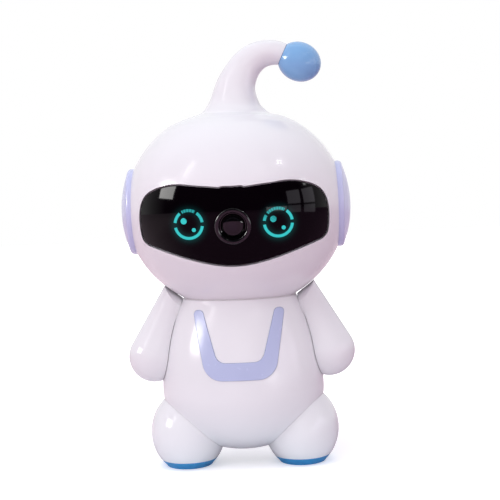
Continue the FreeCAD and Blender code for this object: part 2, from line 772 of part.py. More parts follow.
def base_screws():
    top = HEAD_BASE + FLOOR_T + BASE_T
    heads = floor_screw_rods(SCREW_HEAD_R, top, top + SCREW_HEAD_T)
    shanks = floor_screw_rods(SCREW_R, HEAD_BASE + FLOOR_SKIN + 0.3, top)
    return Part.makeCompound([head.fuse(shank) for head, shank in zip(heads, shanks)])


def retainer_rods(radius, z0, length):
    middle = (TUBE_R + TUBE_BORE_R) / 2
    rods = []
    for turn in range(RETAINER_SCREWS):
        angle = 2 * math.pi * turn / RETAINER_SCREWS
        rods.append(rod_z(radius, z0, z0 + length, middle * math.cos(angle), middle * math.sin(angle)))
    return rods


def neck_retainer():
    """Ring under the bush, with the lug that stops the head's turn."""
    bottom = TUBE_END - RETAINER_T
    ring = rod_z(RETAINER_R, bottom, TUBE_END)
    lug = block((-LUG_HALF_W, LUG_HALF_W), (RETAINER_R - 1.0, LUG_R), (bottom, TUBE_END))
    holes = retainer_rods(SMALL_SCREW_R + FIT_GAP, bottom - 1, RETAINER_T + 2)
    return without(ring.fuse(lug), [rod_z(TUBE_BORE_R, bottom - 1, TUBE_END + 1)] + holes)


def retainer_screws():
    bottom = TUBE_END - RETAINER_T
    heads = retainer_rods(SMALL_HEAD_R, bottom - SMALL_HEAD_T, SMALL_HEAD_T)
    shanks = retainer_rods(SMALL_SCREW_R, bottom, RETAINER_T + SMALL_GRIP)
    return Part.makeCompound([head.fuse(shank) for head, shank in zip(heads, shanks)])


def neck_bush():
    body = rod_z(NECK_BUSH_R, BUSH_BOTTOM, TORSO_TOP)
    flange = rod_z(NECK_BUSH_R + BUSH_FLANGE, BUSH_BOTTOM, DECK_Z)
    return body.fuse(flange).cut(rod_z(NECK_BORE_R, BUSH_BOTTOM - 1, TORSO_TOP + 1))


def thrust_washer():
    ring = rod_z(WASHER_R[1], TORSO_TOP, HEAD_BASE)
    return ring.cut(rod_z(WASHER_R[0], TORSO_TOP - 1, HEAD_BASE + 1))


def stop_ribs():
    """Ribs under the deck that meet the lug at each end of the turn."""
    bush_edge = NECK_BUSH_R + BUSH_FLANGE + MOVE_GAP
    half_angles = math.degrees((LUG_HALF_W + STOP_HALF_W + MOVE_GAP / 2) / bush_edge)
    ribs = []
    for hand in (-1, 1):
        rib = block((-STOP_HALF_W, STOP_HALF_W), (bush_edge, LUG_R), (TUBE_END - RETAINER_T, DECK_Z + 1))
        rib.rotate(ORIGIN, Z_AXIS, hand * (TURN_LIMIT + half_angles))
        ribs.append(rib)
    return ribs


# ---------------------------------------------------------------- torso surfaces
def torso_edges(grow, top):
    """Half profile of the torso: a bowl, then one long arc up to the rim."""
    a = TORSO_R + grow
    c = BELLY_Z - TORSO_BOTTOM + grow
    middle = (BELLY_Z + top) / 2
    bowl = oval_arc(a, c, BELLY_Z, -math.pi / 2, 0.0)
    corner = V(torso_radius(top, grow), 0, top)
    flank = Part.Arc(V(a, 0, BELLY_Z), V(torso_radius(middle, grow), 0, middle), corner).toShape()
    lid = line(corner, V(0, 0, top))
    return [bowl, flank, lid, line(V(0, 0, top), V(0, 0, BELLY_Z - c))]


def torso_solid(grow=0.0, side=0, top=TORSO_TOP):
    return turned(torso_edges(grow, top), side)


def swept_torso(shift):
    """What the torso's side fills when it is turned about the swing axis, with a margin."""
    reach = HAND_DROP + 2 * HAND_R
    band = upright(0.0, 2 * TORSO_R, SHOULDER_Z - reach, SHOULDER_Z)
    section = band.common(Part.Face(Part.Wire(torso_edges(shift, TORSO_TOP))))
    section.rotate(V(0, 0, SHOULDER_Z), X_AXIS, SWEEP_SEAM)
    return section.Faces[0].revolve(V(0, 0, SHOULDER_Z), X_AXIS, 360)


def upright(x0, x1, z0, z1):
    """Rectangle in the XZ plane."""
    corners = [V(x0, 0, z0), V(x1, 0, z0), V(x1, 0, z1), V(x0, 0, z1)]
    return Part.Face(Part.makePolygon(corners + corners[:1]))


# ---------------------------------------------------------------- belly trim
def trim_prism(grow):
    """U-shaped slab with rounded corners."""
    lean_out = (TRIM_OUT_TOP - TRIM_OUT_BOTTOM) / (TRIM_TOP - TRIM_BOTTOM)
    lean_in = (TRIM_IN_TOP - TRIM_IN_BOTTOM) / (TRIM_TOP - TRIM_BAR_TOP)
    g = grow
    outer = [
        (TRIM_OUT_TOP + g + lean_out * g, TRIM_TOP + g),
        (TRIM_OUT_BOTTOM + g - lean_out * g, TRIM_BOTTOM - g),
    ]
    inner = [
        (TRIM_IN_BOTTOM - g + lean_in * g, TRIM_BAR_TOP + g),
        (TRIM_IN_TOP - g + lean_in * g, TRIM_TOP + g),
    ]
    right = outer[:]
    left = [(-x, z) for x, z in reversed(outer)]
    loop = right + left + [(-x, z) for x, z in reversed(inner)] + inner
    points = [V(x, 0, z) for x, z in loop]
    slab = prism_y(Part.makePolygon(points + [points[0]]))
    for z, radius in ((TRIM_BOTTOM - g, TRIM_OUT_ROUND + g), (TRIM_BAR_TOP + g, TRIM_IN_ROUND - g)):
        slab = slab.makeFillet(radius, edges_through(slab, z))
    return slab.makeFillet(TRIM_END_ROUND + g, edges_through(slab, TRIM_TOP + g))


def edges_through(slab, z):
    """Corner edges of an XZ slab at one height."""
    boxes = [(edge, edge.BoundBox) for edge in slab.Edges]
    corners = [(edge, box) for edge, box in boxes if box.XLength + box.ZLength < 0.01]
    return [edge for edge, box in corners if abs(box.ZMin - z) < 0.01]


def trim_pegs(radius):
    """Three pins on the trim's back."""
    bar_z = (TRIM_BOTTOM + TRIM_BAR_TOP) / 2
    arm_x = (TRIM_OUT_TOP + TRIM_IN_TOP) / 2 - 0.4 * TRIM_PEG_R
    arm_z = TRIM_TOP - (TRIM_OUT_TOP - TRIM_IN_TOP)
    places = [(0.0, bar_z), (-arm_x, arm_z), (arm_x, arm_z)]
    return fused([rod_y(radius, -FAR, 0.0, x, z) for x, z in places])


def belly_trim():
    skin = torso_solid(TRIM_PROUD, -1).cut(torso_solid(FIT_GAP - TRIM_SINK, -1))
    pin_skin = torso_solid(-TRIM_SINK / 2, -1).cut(torso_solid(-TRIM_SINK - TRIM_PEG_L, -1))
    return skin.common(trim_prism(0.0)).fuse(pin_skin.common(trim_pegs(TRIM_PEG_R)))


# ---------------------------------------------------------------- torso shells
def torso_half(side):
    """One torso shell's wall with its deck, shoulder bosses, bores and recesses."""
    wall = torso_solid(0.0, side).cut(torso_solid(-TORSO_WALL, side, DECK_Z))
    boss = half(rod_x(HUB_BOSS_R, HUB_BOSS_X, FAR, 0.0, SHOULDER_Z), side)
    boss = boss.common(torso_solid(-TORSO_WALL / 4, side))
    recess = rod_x(HUB_R + MOVE_GAP, HUB_X, FAR, 0.0, SHOULDER_Z)
    bore = rod_x(SHAFT_BUSH_R + FIT_GAP, HUB_BOSS_X - 2, FAR, 0.0, SHOULDER_Z)
    neck = rod_z(NECK_BUSH_R + FIT_GAP, DECK_Z - DECK_T, TORSO_TOP + 1)
    shell = fused([wall, boss, mirrored(boss)])
    return without(shell, [recess, mirrored(recess), bore, mirrored(bore), neck])


def tray_ribs(side):
    ribs = []
    depth = (-BATTERY[1] / 2, 0.0) if side < 0 else (0.0, BATTERY[1] / 2)
    for hand in (-1, 1):
        x = hand * TRAY_RIB_X
        rib = block((x - TRAY_RIB_T / 2, x + TRAY_RIB_T / 2), depth, (0.0, TRAY_Z))
        ribs.append(rib.common(torso_solid(-TORSO_WALL / 2, side)))
    return ribs


def foot_bosses(side):
    """Posts inside the torso that take the foot screws."""
    post = rod_x(FOOT_BOSS_R, FOOT_SEAT_X - FOOT_SCREW_L - 3.0, FAR, FOOT_Y, FOOT_SCREW_Z)
    post = half(post.common(torso_solid(-TORSO_WALL / 2)), side)
    return [post, mirrored(post)]


def foot_pilots():
    pilot = rod_x(FOOT_SCREW_R + FIT_GAP, FOOT_SEAT_X - FOOT_SCREW_L - 1.0, FAR, FOOT_Y, FOOT_SCREW_Z)
    return [pilot, mirrored(pilot)]


def torso_front_shell():
    posts = screw_bosses(TORSO_SCREWS, -1, torso_solid(-TORSO_WALL / 2, -1)) + foot_bosses(-1)
    shell = fused([torso_half(-1)] + posts + tray_ribs(-1))
    groove = trim_prism(FIT_GAP).cut(torso_solid(-TRIM_SINK, -1))
    holes = trim_pegs(TRIM_PEG_R + FIT_GAP).cut(torso_solid(-2 * TRIM_PEG_L - TORSO_WALL, -1))
    return without(shell, [groove, holes] + screw_bores(TORSO_SCREWS, -1) + foot_pilots())


def grille():
    """Rings of small sound holes."""
    holes = [rod_y(GRILLE_R, 0.0, FAR, 0.0, SPEAKER_Z)]
    for ring in range(1, GRILLE_RINGS + 1):
        for turn in range(6 * ring):
            angle = 2 * math.pi * turn / (6 * ring)
            x = ring * GRILLE_PITCH * math.cos(angle)
            z = SPEAKER_Z + ring * GRILLE_PITCH * math.sin(angle)
            holes.append(rod_y(GRILLE_R, 0.0, FAR, x, z))
    return holes


def rear_posts():
    """What the rear shell carries: speaker seat, button pad and board posts."""
    inside = torso_solid(-TORSO_WALL / 2, 1)
    seat = rod_y(SPEAKER_R + FIT_GAP, SPEAKER_Y, FAR, 0.0, SPEAKER_Z)
    seat = seat.cut(rod_y(SPEAKER_R - SPEAKER_SEAT_W, 0.0, FAR, 0.0, SPEAKER_Z))
    rows = (BUTTON_Z - PAD_HALF_H, BUTTON_Z + PAD_HALF_H)
    pad = block((-PAD_HALF_W, PAD_HALF_W), (BUTTON_PAD_Y, FAR), rows)
    posts = [rod_y(PCB_POST_R, PCB_Y, FAR, hand * PCB_POST[0], PCB_POST[1]) for hand in (-1, 1)]
    return [piece.common(inside) for piece in [seat, pad] + posts]


def rounded_bar(x, z, width, height, y0, y1):
    """Bar along Y with half-round ends."""
    r = height / 2
    middle = block((x - width / 2 + r, x + width / 2 - r), (y0, y1), (z - r, z + r))
    return fused([middle, rod_y(r, y0, y1, x - width / 2 + r, z), rod_y(r, y0, y1, x + width / 2 - r, z)])


def rear_cuts():
    """Holes for buttons, socket and switch, and the board posts' pilots."""
    g = BUTTON_GAP
    cuts = [rod_y(BUTTON_R + g, PCB_Y, FAR, x, BUTTON_Z) for x in BUTTON_X.values()]
    cuts.append(rounded_bar(PORT_X, PORT_Z, PORT_SIZE[0] + 2 * g, PORT_SIZE[1] + 2 * g, PCB_Y, FAR))
    slot = (KNOB_X - KNOB_SIZE[0] / 2 - g, KNOB_X + KNOB_TRAVEL + KNOB_SIZE[0] / 2 + g)
    tall = KNOB_SIZE[1] / 2 + g
    cuts.append(block(slot, (PCB_Y, FAR), (PORT_Z - tall, PORT_Z + tall)))
    end = PCB_Y + SMALL_GRIP + 1.0
    for hand in (-1, 1):
        cuts.append(rod_y(SMALL_SCREW_R + FIT_GAP / 2, PCB_Y - 1, end, hand * PCB_POST[0], PCB_POST[1]))
    return cuts


def torso_rear_shell():
    posts = screw_bosses(TORSO_SCREWS, 1, torso_solid(-TORSO_WALL / 2, 1)) + foot_bosses(1)
    shell = fused([torso_half(1)] + posts + tray_ribs(1) + rear_posts() + stop_ribs())
    cuts = rear_cuts() + screw_bores(TORSO_SCREWS, 1) + foot_pilots() + [Part.makeCompound(grille())]
    return without(shell, cuts)


# ---------------------------------------------------------------- arms, on the robot's left
def drop_solid(inset):
    """Round drop from the small shoulder ball to the large hand ball."""
    r1 = SHOULDER_BALL_R - inset
    r2 = HAND_R - inset
    shoulder = V(SHOULDER_X, SHOULDER_Y, SHOULDER_Z + SHOULDER_LIFT)
    run = V(HAND_X, HAND_Y, HAND_Z).sub(shoulder)
    length = run.Length
    tilt = math.asin((r2 - r1) / length)

    def at(radius, centre, angle):
        return V(radius * math.cos(angle), 0, centre + radius * math.sin(angle))

    def arc(radius, centre, start, end):
        middle = (start + end) / 2
        points = [at(radius, centre, angle) for angle in (start, middle, end)]
        return Part.Arc(*points).toShape()

    top_arc = arc(r1, 0, math.pi / 2, tilt)
    hand_arc = arc(r2, -length, tilt, -math.pi / 2)
    flank = line(at(r1, 0, tilt), at(r2, -length, tilt))
    drop_shape = turned([top_arc, flank, hand_arc, line(V(0, 0, -length - r2), V(0, 0, r1))])
    drop_shape.rotate(ORIGIN, Z_AXIS, DROP_SEAM - 90)
    turn = FreeCAD.Rotation(V(0, 0, -1), run)
    drop_shape.Placement = FreeCAD.Placement(shoulder, turn).multiply(drop_shape.Placement)
    return drop_shape


def body_room(shift):
    """What the arm leaves free: the torso, its sweep behind, and the room above the axis."""
    above_x = torso_radius(SHOULDER_Z) + MOVE_GAP + shift
    above = block((0.0, above_x), (-FAR, FAR), (SHOULDER_Z, FAR))
    return [torso_solid(MOVE_GAP + shift), half(swept_torso(MOVE_GAP + shift), 1), above]


def below_axis():
    return block((-FAR, FAR), (-FAR, FAR), (-FAR, SHOULDER_Z))


def head_room():
    """The head's ball as the swinging arm sees it."""
    balls = []
    for turn in HEAD_TURNS:
        ball = head_ball(-2 * MOVE_GAP)
        ball.rotate(V(0, 0, SHOULDER_Z), X_AXIS, turn)
        balls.append(ball)
    return balls


def arm_shell():
    side = without(drop_solid(0.0), body_room(0.0))
    cavity = without(drop_solid(ARM_WALL), body_room(COVER_T))
    pockets = [drop_solid(COVER_LIP).common(below_axis()).common(room) for room in body_room(COVER_T)]
    hub = rod_x(HUB_R, HUB_X + MOVE_GAP, SHOULDER_X, 0.0, SHOULDER_Z)
    core = rod_x(HUB_CORE_R, SHOULDER_X - 1, FAR, 0.0, SHOULDER_Z).common(drop_solid(ARM_WALL / 2))
    bore = rod_x(SHAFT_R + FIT_GAP / 4, HUB_X, SHAFT_OUT_X, 0.0, SHOULDER_Z)
    shell = fused([without(side, [cavity] + pockets[:2]), hub, core])
    return without(shell, [bore] + head_room())


def arm_cover():
    """Inner face of the arm, let into the shell's edge."""
    blank = without(drop_solid(COVER_LIP + FIT_GAP).common(below_axis()), body_room(0.0))
    core = without(blank, body_room(COVER_T - FIT_GAP))
    hub = rod_x(HUB_R + FIT_GAP, HUB_X - 1, FAR, 0.0, SHOULDER_Z)
    return without(blank, [core, hub])


def arm_shaft():
    shaft = rod_x(SHAFT_R, SHAFT_IN_X, SHAFT_OUT_X, 0.0, SHOULDER_Z)
    end = SHAFT_IN_X + ARM_SCREW_L
    return shaft.cut(rod_x(ARM_SCREW_R + FIT_GAP / 2, SHAFT_IN_X - 1, end, 0.0, SHOULDER_Z))


def arm_washer():
    ring = rod_x(ARM_WASHER_R, SHAFT_IN_X - ARM_WASHER_T, SHAFT_IN_X, 0.0, SHOULDER_Z)
    return ring.cut(rod_x(ARM_SCREW_R + FIT_GAP, 0.0, FAR, 0.0, SHOULDER_Z))


def arm_screw():
    seat = SHAFT_IN_X - ARM_WASHER_T
    head = rod_x(ARM_SCREW_HEAD_R, seat - ARM_SCREW_HEAD_T, seat, 0.0, SHOULDER_Z)
    shank = rod_x(ARM_SCREW_R, seat, SHAFT_IN_X + ARM_SCREW_L - 1.0, 0.0, SHOULDER_Z)
    return head.fuse(shank)


def shoulder_bush():
    body = rod_x(SHAFT_BUSH_R, HUB_BOSS_X, HUB_X, 0.0, SHOULDER_Z)
    flange = rod_x(SHAFT_FLANGE_R, HUB_BOSS_X - SHAFT_FLANGE_T, HUB_BOSS_X, 0.0, SHOULDER_Z)
    return body.fuse(flange).cut(rod_x(SHAFT_R + RUN_GAP, 0.0, FAR, 0.0, SHOULDER_Z))


# ---------------------------------------------------------------- feet, on the robot's left
def foot_ball(inset):
    radii = [axis - inset for axis in FOOT_AXES]
    return ellipsoid(radii, V(FOOT_X, FOOT_Y, FOOT_Z))


def foot_shell():
    above = block((-FAR, FAR), (-FAR, FAR), (SOLE_T, FAR))
    outer = foot_ball(0.0).common(above).cut(torso_solid(FIT_GAP / 2))
    hollow = foot_ball(FOOT_WALL).cut(torso_solid(FIT_GAP / 2 + FOOT_WALL))
    shell = outer.cut(hollow)
    seat = rod_x(FOOT_BOSS_R, 0.0, FOOT_SEAT_X, FOOT_Y, FOOT_SCREW_Z)
    seat = seat.common(foot_ball(FOOT_WALL / 2)).cut(torso_solid(FIT_GAP / 2))
    hole = rod_x(FOOT_SCREW_R + FIT_GAP, 0.0, FOOT_SEAT_X + 1, FOOT_Y, FOOT_SCREW_Z)
    sink = rod_x(FOOT_HEAD_R + FIT_GAP, FOOT_SEAT_X, FOOT_SEAT_X + FOOT_HEAD_T + 1, FOOT_Y, FOOT_SCREW_Z)
    return without(shell.fuse(seat), [hole, sink])


def foot_screw():
    head = rod_x(FOOT_HEAD_R, FOOT_SEAT_X, FOOT_SEAT_X + FOOT_HEAD_T, FOOT_Y, FOOT_SCREW_Z)
    shank = rod_x(FOOT_SCREW_R, FOOT_SEAT_X - FOOT_SCREW_L, FOOT_SEAT_X, FOOT_Y, FOOT_SCREW_Z)
    return head.fuse(shank)


def sole():
    """Soft tread that closes the foot, with a plug inside the shell."""
    tread = foot_ball(0.0).common(block((-FAR, FAR), (-FAR, FAR), (0.0, SOLE_T)))
    rim = [e for e in tread.Edges if e.BoundBox.ZMax < 0.01]
    tread = tread.makeFillet(SOLE_ROUND, rim)
    level = block((-FAR, FAR), (-FAR, FAR), (SOLE_T, SOLE_T + SOLE_PLUG))
    plug = foot_ball(FOOT_WALL + FIT_GAP).common(level).cut(torso_solid(FOOT_WALL + 2 * FIT_GAP))
    return tread.fuse(plug)


# ---------------------------------------------------------------- speaker, boards and battery
def speaker_frame():
    """Rim and basket as one dish with a thin wall."""
    rim_y = SPEAKER_Y - SPEAKER_RIM_T
    mouth_r = SPEAKER_R - CONE_EDGE + FIT_GAP
    floor = V(0, BASKET_Y, SPEAKER_Z)
    rim = rod_y(SPEAKER_R, rim_y, SPEAKER_Y, 0.0, SPEAKER_Z)
    basket = Part.makeCone(MAGNET_R + BASKET_T, mouth_r + BASKET_T, rim_y - BASKET_Y, floor, Y_AXIS)
    start = floor.add(V(0, BASKET_T, 0))
    inner = Part.makeCone(MAGNET_R, mouth_r, rim_y - start.y, start, Y_AXIS)
    return without(rim.fuse(basket), [inner, rod_y(mouth_r, rim_y, SPEAKER_Y + 1, 0.0, SPEAKER_Z)])


def speaker_cone():
    """Paper cone and its coil, inside the frame's mouth."""
    wide = SPEAKER_R - CONE_EDGE
    bottom = BASKET_Y + BASKET_T
    start = V(0, bottom + COIL_R / 2, SPEAKER_Z)
    depth = SPEAKER_Y - start.y
    cone = Part.makeCone(COIL_R, wide, depth, start, Y_AXIS)
    hollow = Part.makeCone(COIL_R, wide, depth, start.add(V(0, CONE_T, 0)), Y_AXIS)
    return cone.cut(hollow).fuse(rod_y(COIL_R, bottom, start.y + CONE_T / 2, 0.0, SPEAKER_Z))


def speaker_magnet():
    return rod_y(MAGNET_R, BASKET_Y - MAGNET_T, BASKET_Y, 0.0, SPEAKER_Z)


def main_board():
    board = block((-PCB_HALF_W, PCB_HALF_W), (PCB_Y - BOARD_T, PCB_Y), PCB_Z)
    chip = block((-CHIP_HALF_W, CHIP_HALF_W), (PCB_Y - BOARD_T - CHIP_T, PCB_Y - BOARD_T), CHIP_Z)
    x, z = PCB_POST
    holes = [rod_y(SMALL_SCREW_R + FIT_GAP, 0.0, FAR, hand * x, z) for hand in (-1, 1)]
    return without(board.fuse(chip), holes)


def board_screws():
    x, z = PCB_POST
    return Part.makeCompound([small_screw(hand * x, z, PCB_Y - BOARD_T, 1) for hand in (-1, 1)])


def button_depths(x):
    """Where a button's flange begins and where its cap ends."""
    return BUTTON_PAD_Y - FIT_GAP - BUTTON_FLANGE_T, skin_y(x, BUTTON_Z) + BUTTON_PROUD


def button(x):
    """Round cap with a flange behind the shell's pad."""
    inner, outer = button_depths(x)
    cap = rod_y(BUTTON_R, inner, outer, x, BUTTON_Z)
    cap = cap.makeFillet(BUTTON_ROUND, [e for e in cap.Edges if e.BoundBox.YMin > outer - 0.01])
    return cap.fuse(rod_y(BUTTON_R + BUTTON_FLANGE, inner, BUTTON_PAD_Y - FIT_GAP, x, BUTTON_Z))


def button_switches():
    """Three push switches on the board, one behind each button."""
    switches = []
    for x in BUTTON_X.values():
        top = button_depths(x)[0] - BUTTON_TRAVEL - FIT_GAP
        rows = (BUTTON_Z - PUSH_HALF_W, BUTTON_Z + PUSH_HALF_W)
        body = block((x - PUSH_HALF_W, x + PUSH_HALF_W), (PCB_Y, top - PUSH_STEM_L), rows)
        switches.append(body.fuse(rod_y(PUSH_STEM_R, PCB_Y + 1, top, x, BUTTON_Z)))
    return Part.makeCompound(switches)


def charging_port():
    """Metal socket with its tongue, standing on the board."""
    mouth = skin_y(PORT_X, PORT_Z) - PORT_SHORT
    width, height = PORT_SIZE
    back = PCB_Y + BOARD_T
    shell = rounded_bar(PORT_X, PORT_Z, width, height, PCB_Y, mouth)
    hollow = rounded_bar(PORT_X, PORT_Z, width - 2 * PORT_WALL, height - 2 * PORT_WALL, back, mouth + 1)
    rows = (PORT_Z - TONGUE_HALF_T, PORT_Z + TONGUE_HALF_T)
    tongue = block((PORT_X - TONGUE_HALF_W, PORT_X + TONGUE_HALF_W), (PCB_Y + 1.0, mouth - 1.0), rows)
    return shell.cut(hollow).fuse(tongue)


def power_switch_body():
    width, height, depth = SWITCH_SIZE
    x = KNOB_X + KNOB_TRAVEL / 2
    rows = (PORT_Z - height / 2, PORT_Z + height / 2)
    return block((x - width / 2, x + width / 2), (PCB_Y, PCB_Y + depth), rows)


def power_switch_knob():
    width, height = KNOB_SIZE
    start = PCB_Y + SWITCH_SIZE[2] + FIT_GAP
    x = (KNOB_X - width / 2, KNOB_X + width / 2)
    z = (PORT_Z - height / 2, PORT_Z + height / 2)
    stem = block(x, (start, skin_y(KNOB_X, PORT_Z) + KNOB_PROUD), z)
    wide = (x[0] - KNOB_PLATE_X, x[1] + KNOB_PLATE_X)
    tall = (z[0] - KNOB_PLATE_Z, z[1] + KNOB_PLATE_Z)
    return stem.fuse(block(wide, (start, start + KNOB_PLATE_T), tall))


def battery_tray():
    out_x = BATTERY[0] / 2 + FIT_GAP + TRAY_WALL
    out_y = BATTERY[1] / 2 + FIT_GAP + TRAY_WALL
    tray = block((-out_x, out_x), (-out_y, out_y), (TRAY_Z, TRAY_Z + TRAY_WALL + TRAY_RIM))
    in_x = out_x - TRAY_WALL
    in_y = out_y - TRAY_WALL
    return tray.cut(block((-in_x, in_x), (-in_y, in_y), (TRAY_Z + TRAY_WALL, TRAY_Z + FAR)))


def battery_pack():
    x, y, z = BATTERY
    floor = TRAY_Z + TRAY_WALL
    pack = block((-x / 2, x / 2), (-y / 2, y / 2), (floor, floor + z))
    return pack.makeFillet(BATTERY_ROUND, [e for e in pack.Edges if e.BoundBox.ZLength > z - 0.01])


# ---------------------------------------------------------------- the whole robot
def save_pair(name, shape, keep=save):
    keep("left_" + name, shape)
    keep("right_" + name, mirrored(shape))


def save_head():
    save_wall("head_front_shell", head_front_shell())
    save_wall("head_rear_shell", head_rear_shell())
    save("antenna_ball", antenna_ball())
    save("visor", visor())
    for name, side in (("left", 1), ("right", -1)):
        save(name + "_eye_guide", eye_guide(side))
        save(name + "_eye_light_box", light_box(side))
    save("eye_lamps", eye_lamps())
    save("face_board", face_board())
    save("face_board_screws", face_board_screws())
    save("camera_bezel", camera_bezel())
    save("camera_lens", camera_lens())
    save("camera_module", camera_module())
    save_pair("ear_pad", ear_pad())
    save("head_base", head_base())
    save("head_base_screws", base_screws())
    save("neck_retainer", neck_retainer())
    save("neck_retainer_screws", retainer_screws())
    save("head_shell_screws", closing_screws(head_places()))


def save_torso():
    save_wall("torso_front_shell", torso_front_shell())
    save_wall("torso_rear_shell", torso_rear_shell())
    save("belly_trim", belly_trim())
    save("neck_bush", neck_bush())
    save("thrust_washer", thrust_washer())
    save_pair("shoulder_bush", shoulder_bush())
    save("torso_shell_screws", closing_screws(TORSO_SCREWS))
    save_pair("foot_shell", foot_shell())
    save_pair("sole", sole())
    save("foot_screws", Part.makeCompound([foot_screw(), mirrored(foot_screw())]))


def save_electronics():
    save("speaker_frame", speaker_frame())
    save("speaker_cone", speaker_cone())
    save("speaker_magnet", speaker_magnet())
    save("main_board", main_board())
    save("main_board_screws", board_screws())
    save("button_switches", button_switches())
    save("charging_port", charging_port())
    save("power_switch_body", power_switch_body())
    save("power_switch_knob", power_switch_knob())
    save("battery_tray", battery_tray())
    save("battery_pack", battery_pack())
    for name, x in BUTTON_X.items():
        save(name, button(x))


def save_arms():
    save_pair("arm_shell", arm_shell(), save_wall)
    save_pair("arm_cover", arm_cover())
    save_pair("arm_shaft", arm_shaft())
    save_pair("arm_washer", arm_washer())
    save_pair("arm_screw", arm_screw())


os.makedirs("parts", exist_ok=True)
save_head()
save_torso()
save_electronics()
save_arms()
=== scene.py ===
"""Desk companion robot: its visible shells, face, trim and controls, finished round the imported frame."""

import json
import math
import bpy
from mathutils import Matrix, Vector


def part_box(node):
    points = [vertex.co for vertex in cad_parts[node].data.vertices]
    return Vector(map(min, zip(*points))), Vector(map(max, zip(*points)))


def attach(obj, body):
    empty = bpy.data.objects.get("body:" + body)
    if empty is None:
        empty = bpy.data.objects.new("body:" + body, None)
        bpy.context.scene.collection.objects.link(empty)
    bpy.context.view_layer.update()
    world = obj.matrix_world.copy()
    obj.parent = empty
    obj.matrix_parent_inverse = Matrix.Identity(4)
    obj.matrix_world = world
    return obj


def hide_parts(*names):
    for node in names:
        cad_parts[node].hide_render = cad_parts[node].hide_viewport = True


bl_info = {
    "name": "Companion Robot",
    "version": (1, 0, 0),
    "blender": (4, 5, 0),
    "location": "View3D > Sidebar > Robot",
    "description": "Models and finishes a small desk companion robot",
    "category": "Object",
}

import bmesh
import bpy
from bpy.props import FloatProperty, FloatVectorProperty, PointerProperty
from mathutils import Matrix, Vector

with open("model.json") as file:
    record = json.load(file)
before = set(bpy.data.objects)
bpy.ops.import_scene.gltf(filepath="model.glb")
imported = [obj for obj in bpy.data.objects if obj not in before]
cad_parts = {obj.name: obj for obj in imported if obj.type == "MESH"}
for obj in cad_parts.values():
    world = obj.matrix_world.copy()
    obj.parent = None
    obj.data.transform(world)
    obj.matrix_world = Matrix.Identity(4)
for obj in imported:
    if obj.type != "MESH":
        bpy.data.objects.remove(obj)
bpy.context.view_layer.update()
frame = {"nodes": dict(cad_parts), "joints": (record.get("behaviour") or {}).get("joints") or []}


# Meshes are modelled in millimetres and brought to metres by piece().
METRES = 0.001


def mm(size):
    """A setting in millimetres."""
    return size / METRES


def measured(node):
    """Lowest and highest corner of a CAD node in millimetres."""
    low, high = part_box(node)
    return low / METRES, high / METRES


def joint_place(name):
    place = next(joint["pos_m"] for joint in frame["joints"] if joint["name"] == name)
    return Vector(place) / METRES


# ---------------------------------------------------------------- sizes the frame gives
HEAD_R = measured("head_rear_shell")[1].y
HEAD_BASE = measured("head_rear_shell")[0].z
HEAD_Z = (measured("left_ear_pad")[0].z + measured("left_ear_pad")[1].z) / 2
EAR_R = measured("left_ear_pad")[1].y
EAR_TOP_X = measured("left_ear_pad")[1].x
TORSO_R = measured("torso_rear_shell")[1].y
TORSO_BOTTOM = measured("torso_front_shell")[0].z
TORSO_TOP = measured("torso_front_shell")[1].z
SHOULDER_Z = joint_place("left_arm_swing").z
SOLE_T = measured("left_foot_shell")[0].z
TRIM_TOP = measured("belly_trim")[1].z
TRIM_BOTTOM = measured("belly_trim")[0].z

# ---------------------------------------------------------------- sizes of the mouldings
CHIN_FLAT = 7.5  # how much of the head's ball its flat underside cuts off
HEAD_C = HEAD_Z - HEAD_BASE + CHIN_FLAT
SHELL_WALL = 2.2
STALK_WALL = 1.8
FLOOR_T = 2.5
FLOOR_HOLE_R = 22.0
STALK_ROOT_R = 36.0  # the ball's ring from which the stalk begins to rise
# the stalk's rings: x, height above the ball's top, radius, lean from upright in degrees
STALK = [
    (0.2, -8.3, 31.0, 0.0),
    (0.7, -6.25, 26.0, 0.0),
    (1.4, -5.1, 21.8, 1.0),
    (1.9, -3.9, 18.4, 2.0),
    (2.0, -1.6, 16.1, 4.0),
    (1.9, 2.2, 13.5, 7.0),
    (2.8, 10.6, 10.8, 17.0),
    (5.7, 17.1, 9.3, 31.0),
    (10.2, 23.1, 8.35, 47.0),
    (16.6, 27.0, 7.45, 70.0),
    (23.6, 27.8, 6.7, 93.0),
    (28.6, 26.6, 6.2, 116.0),
]
BALL_R = 10.6
BALL_HALF = 12.0
BALL_NECK = 9.9
FAR = 200.0
SHARP = math.radians(38)
SKIN_REACH = 0.02
QUARTER = [math.pi / 2 * i / 8 for i in range(9)]

VISOR_OUTLINE = [
    (17.3, 12.3),
    (29.6, 13.5),
    (39.1, 11.8),
    (45.6, 8.0),
    (48.7, 0.7),
    (48.7, -9.8),
    (46.7, -15.4),
    (40.0, -18.7),
    (17.4, -26.0),
]
VISOR_TOP = 10.8
VISOR_BOTTOM = -28.6
VISOR_T = 2.0
TAB_HALF_W = 5.4
TAB_H = 0.7
EYE_X = 22.9
EYE_DROP = 8.1
EYE_R = 7.9
EYE_PROUD = 0.03
EYE_T = 0.35
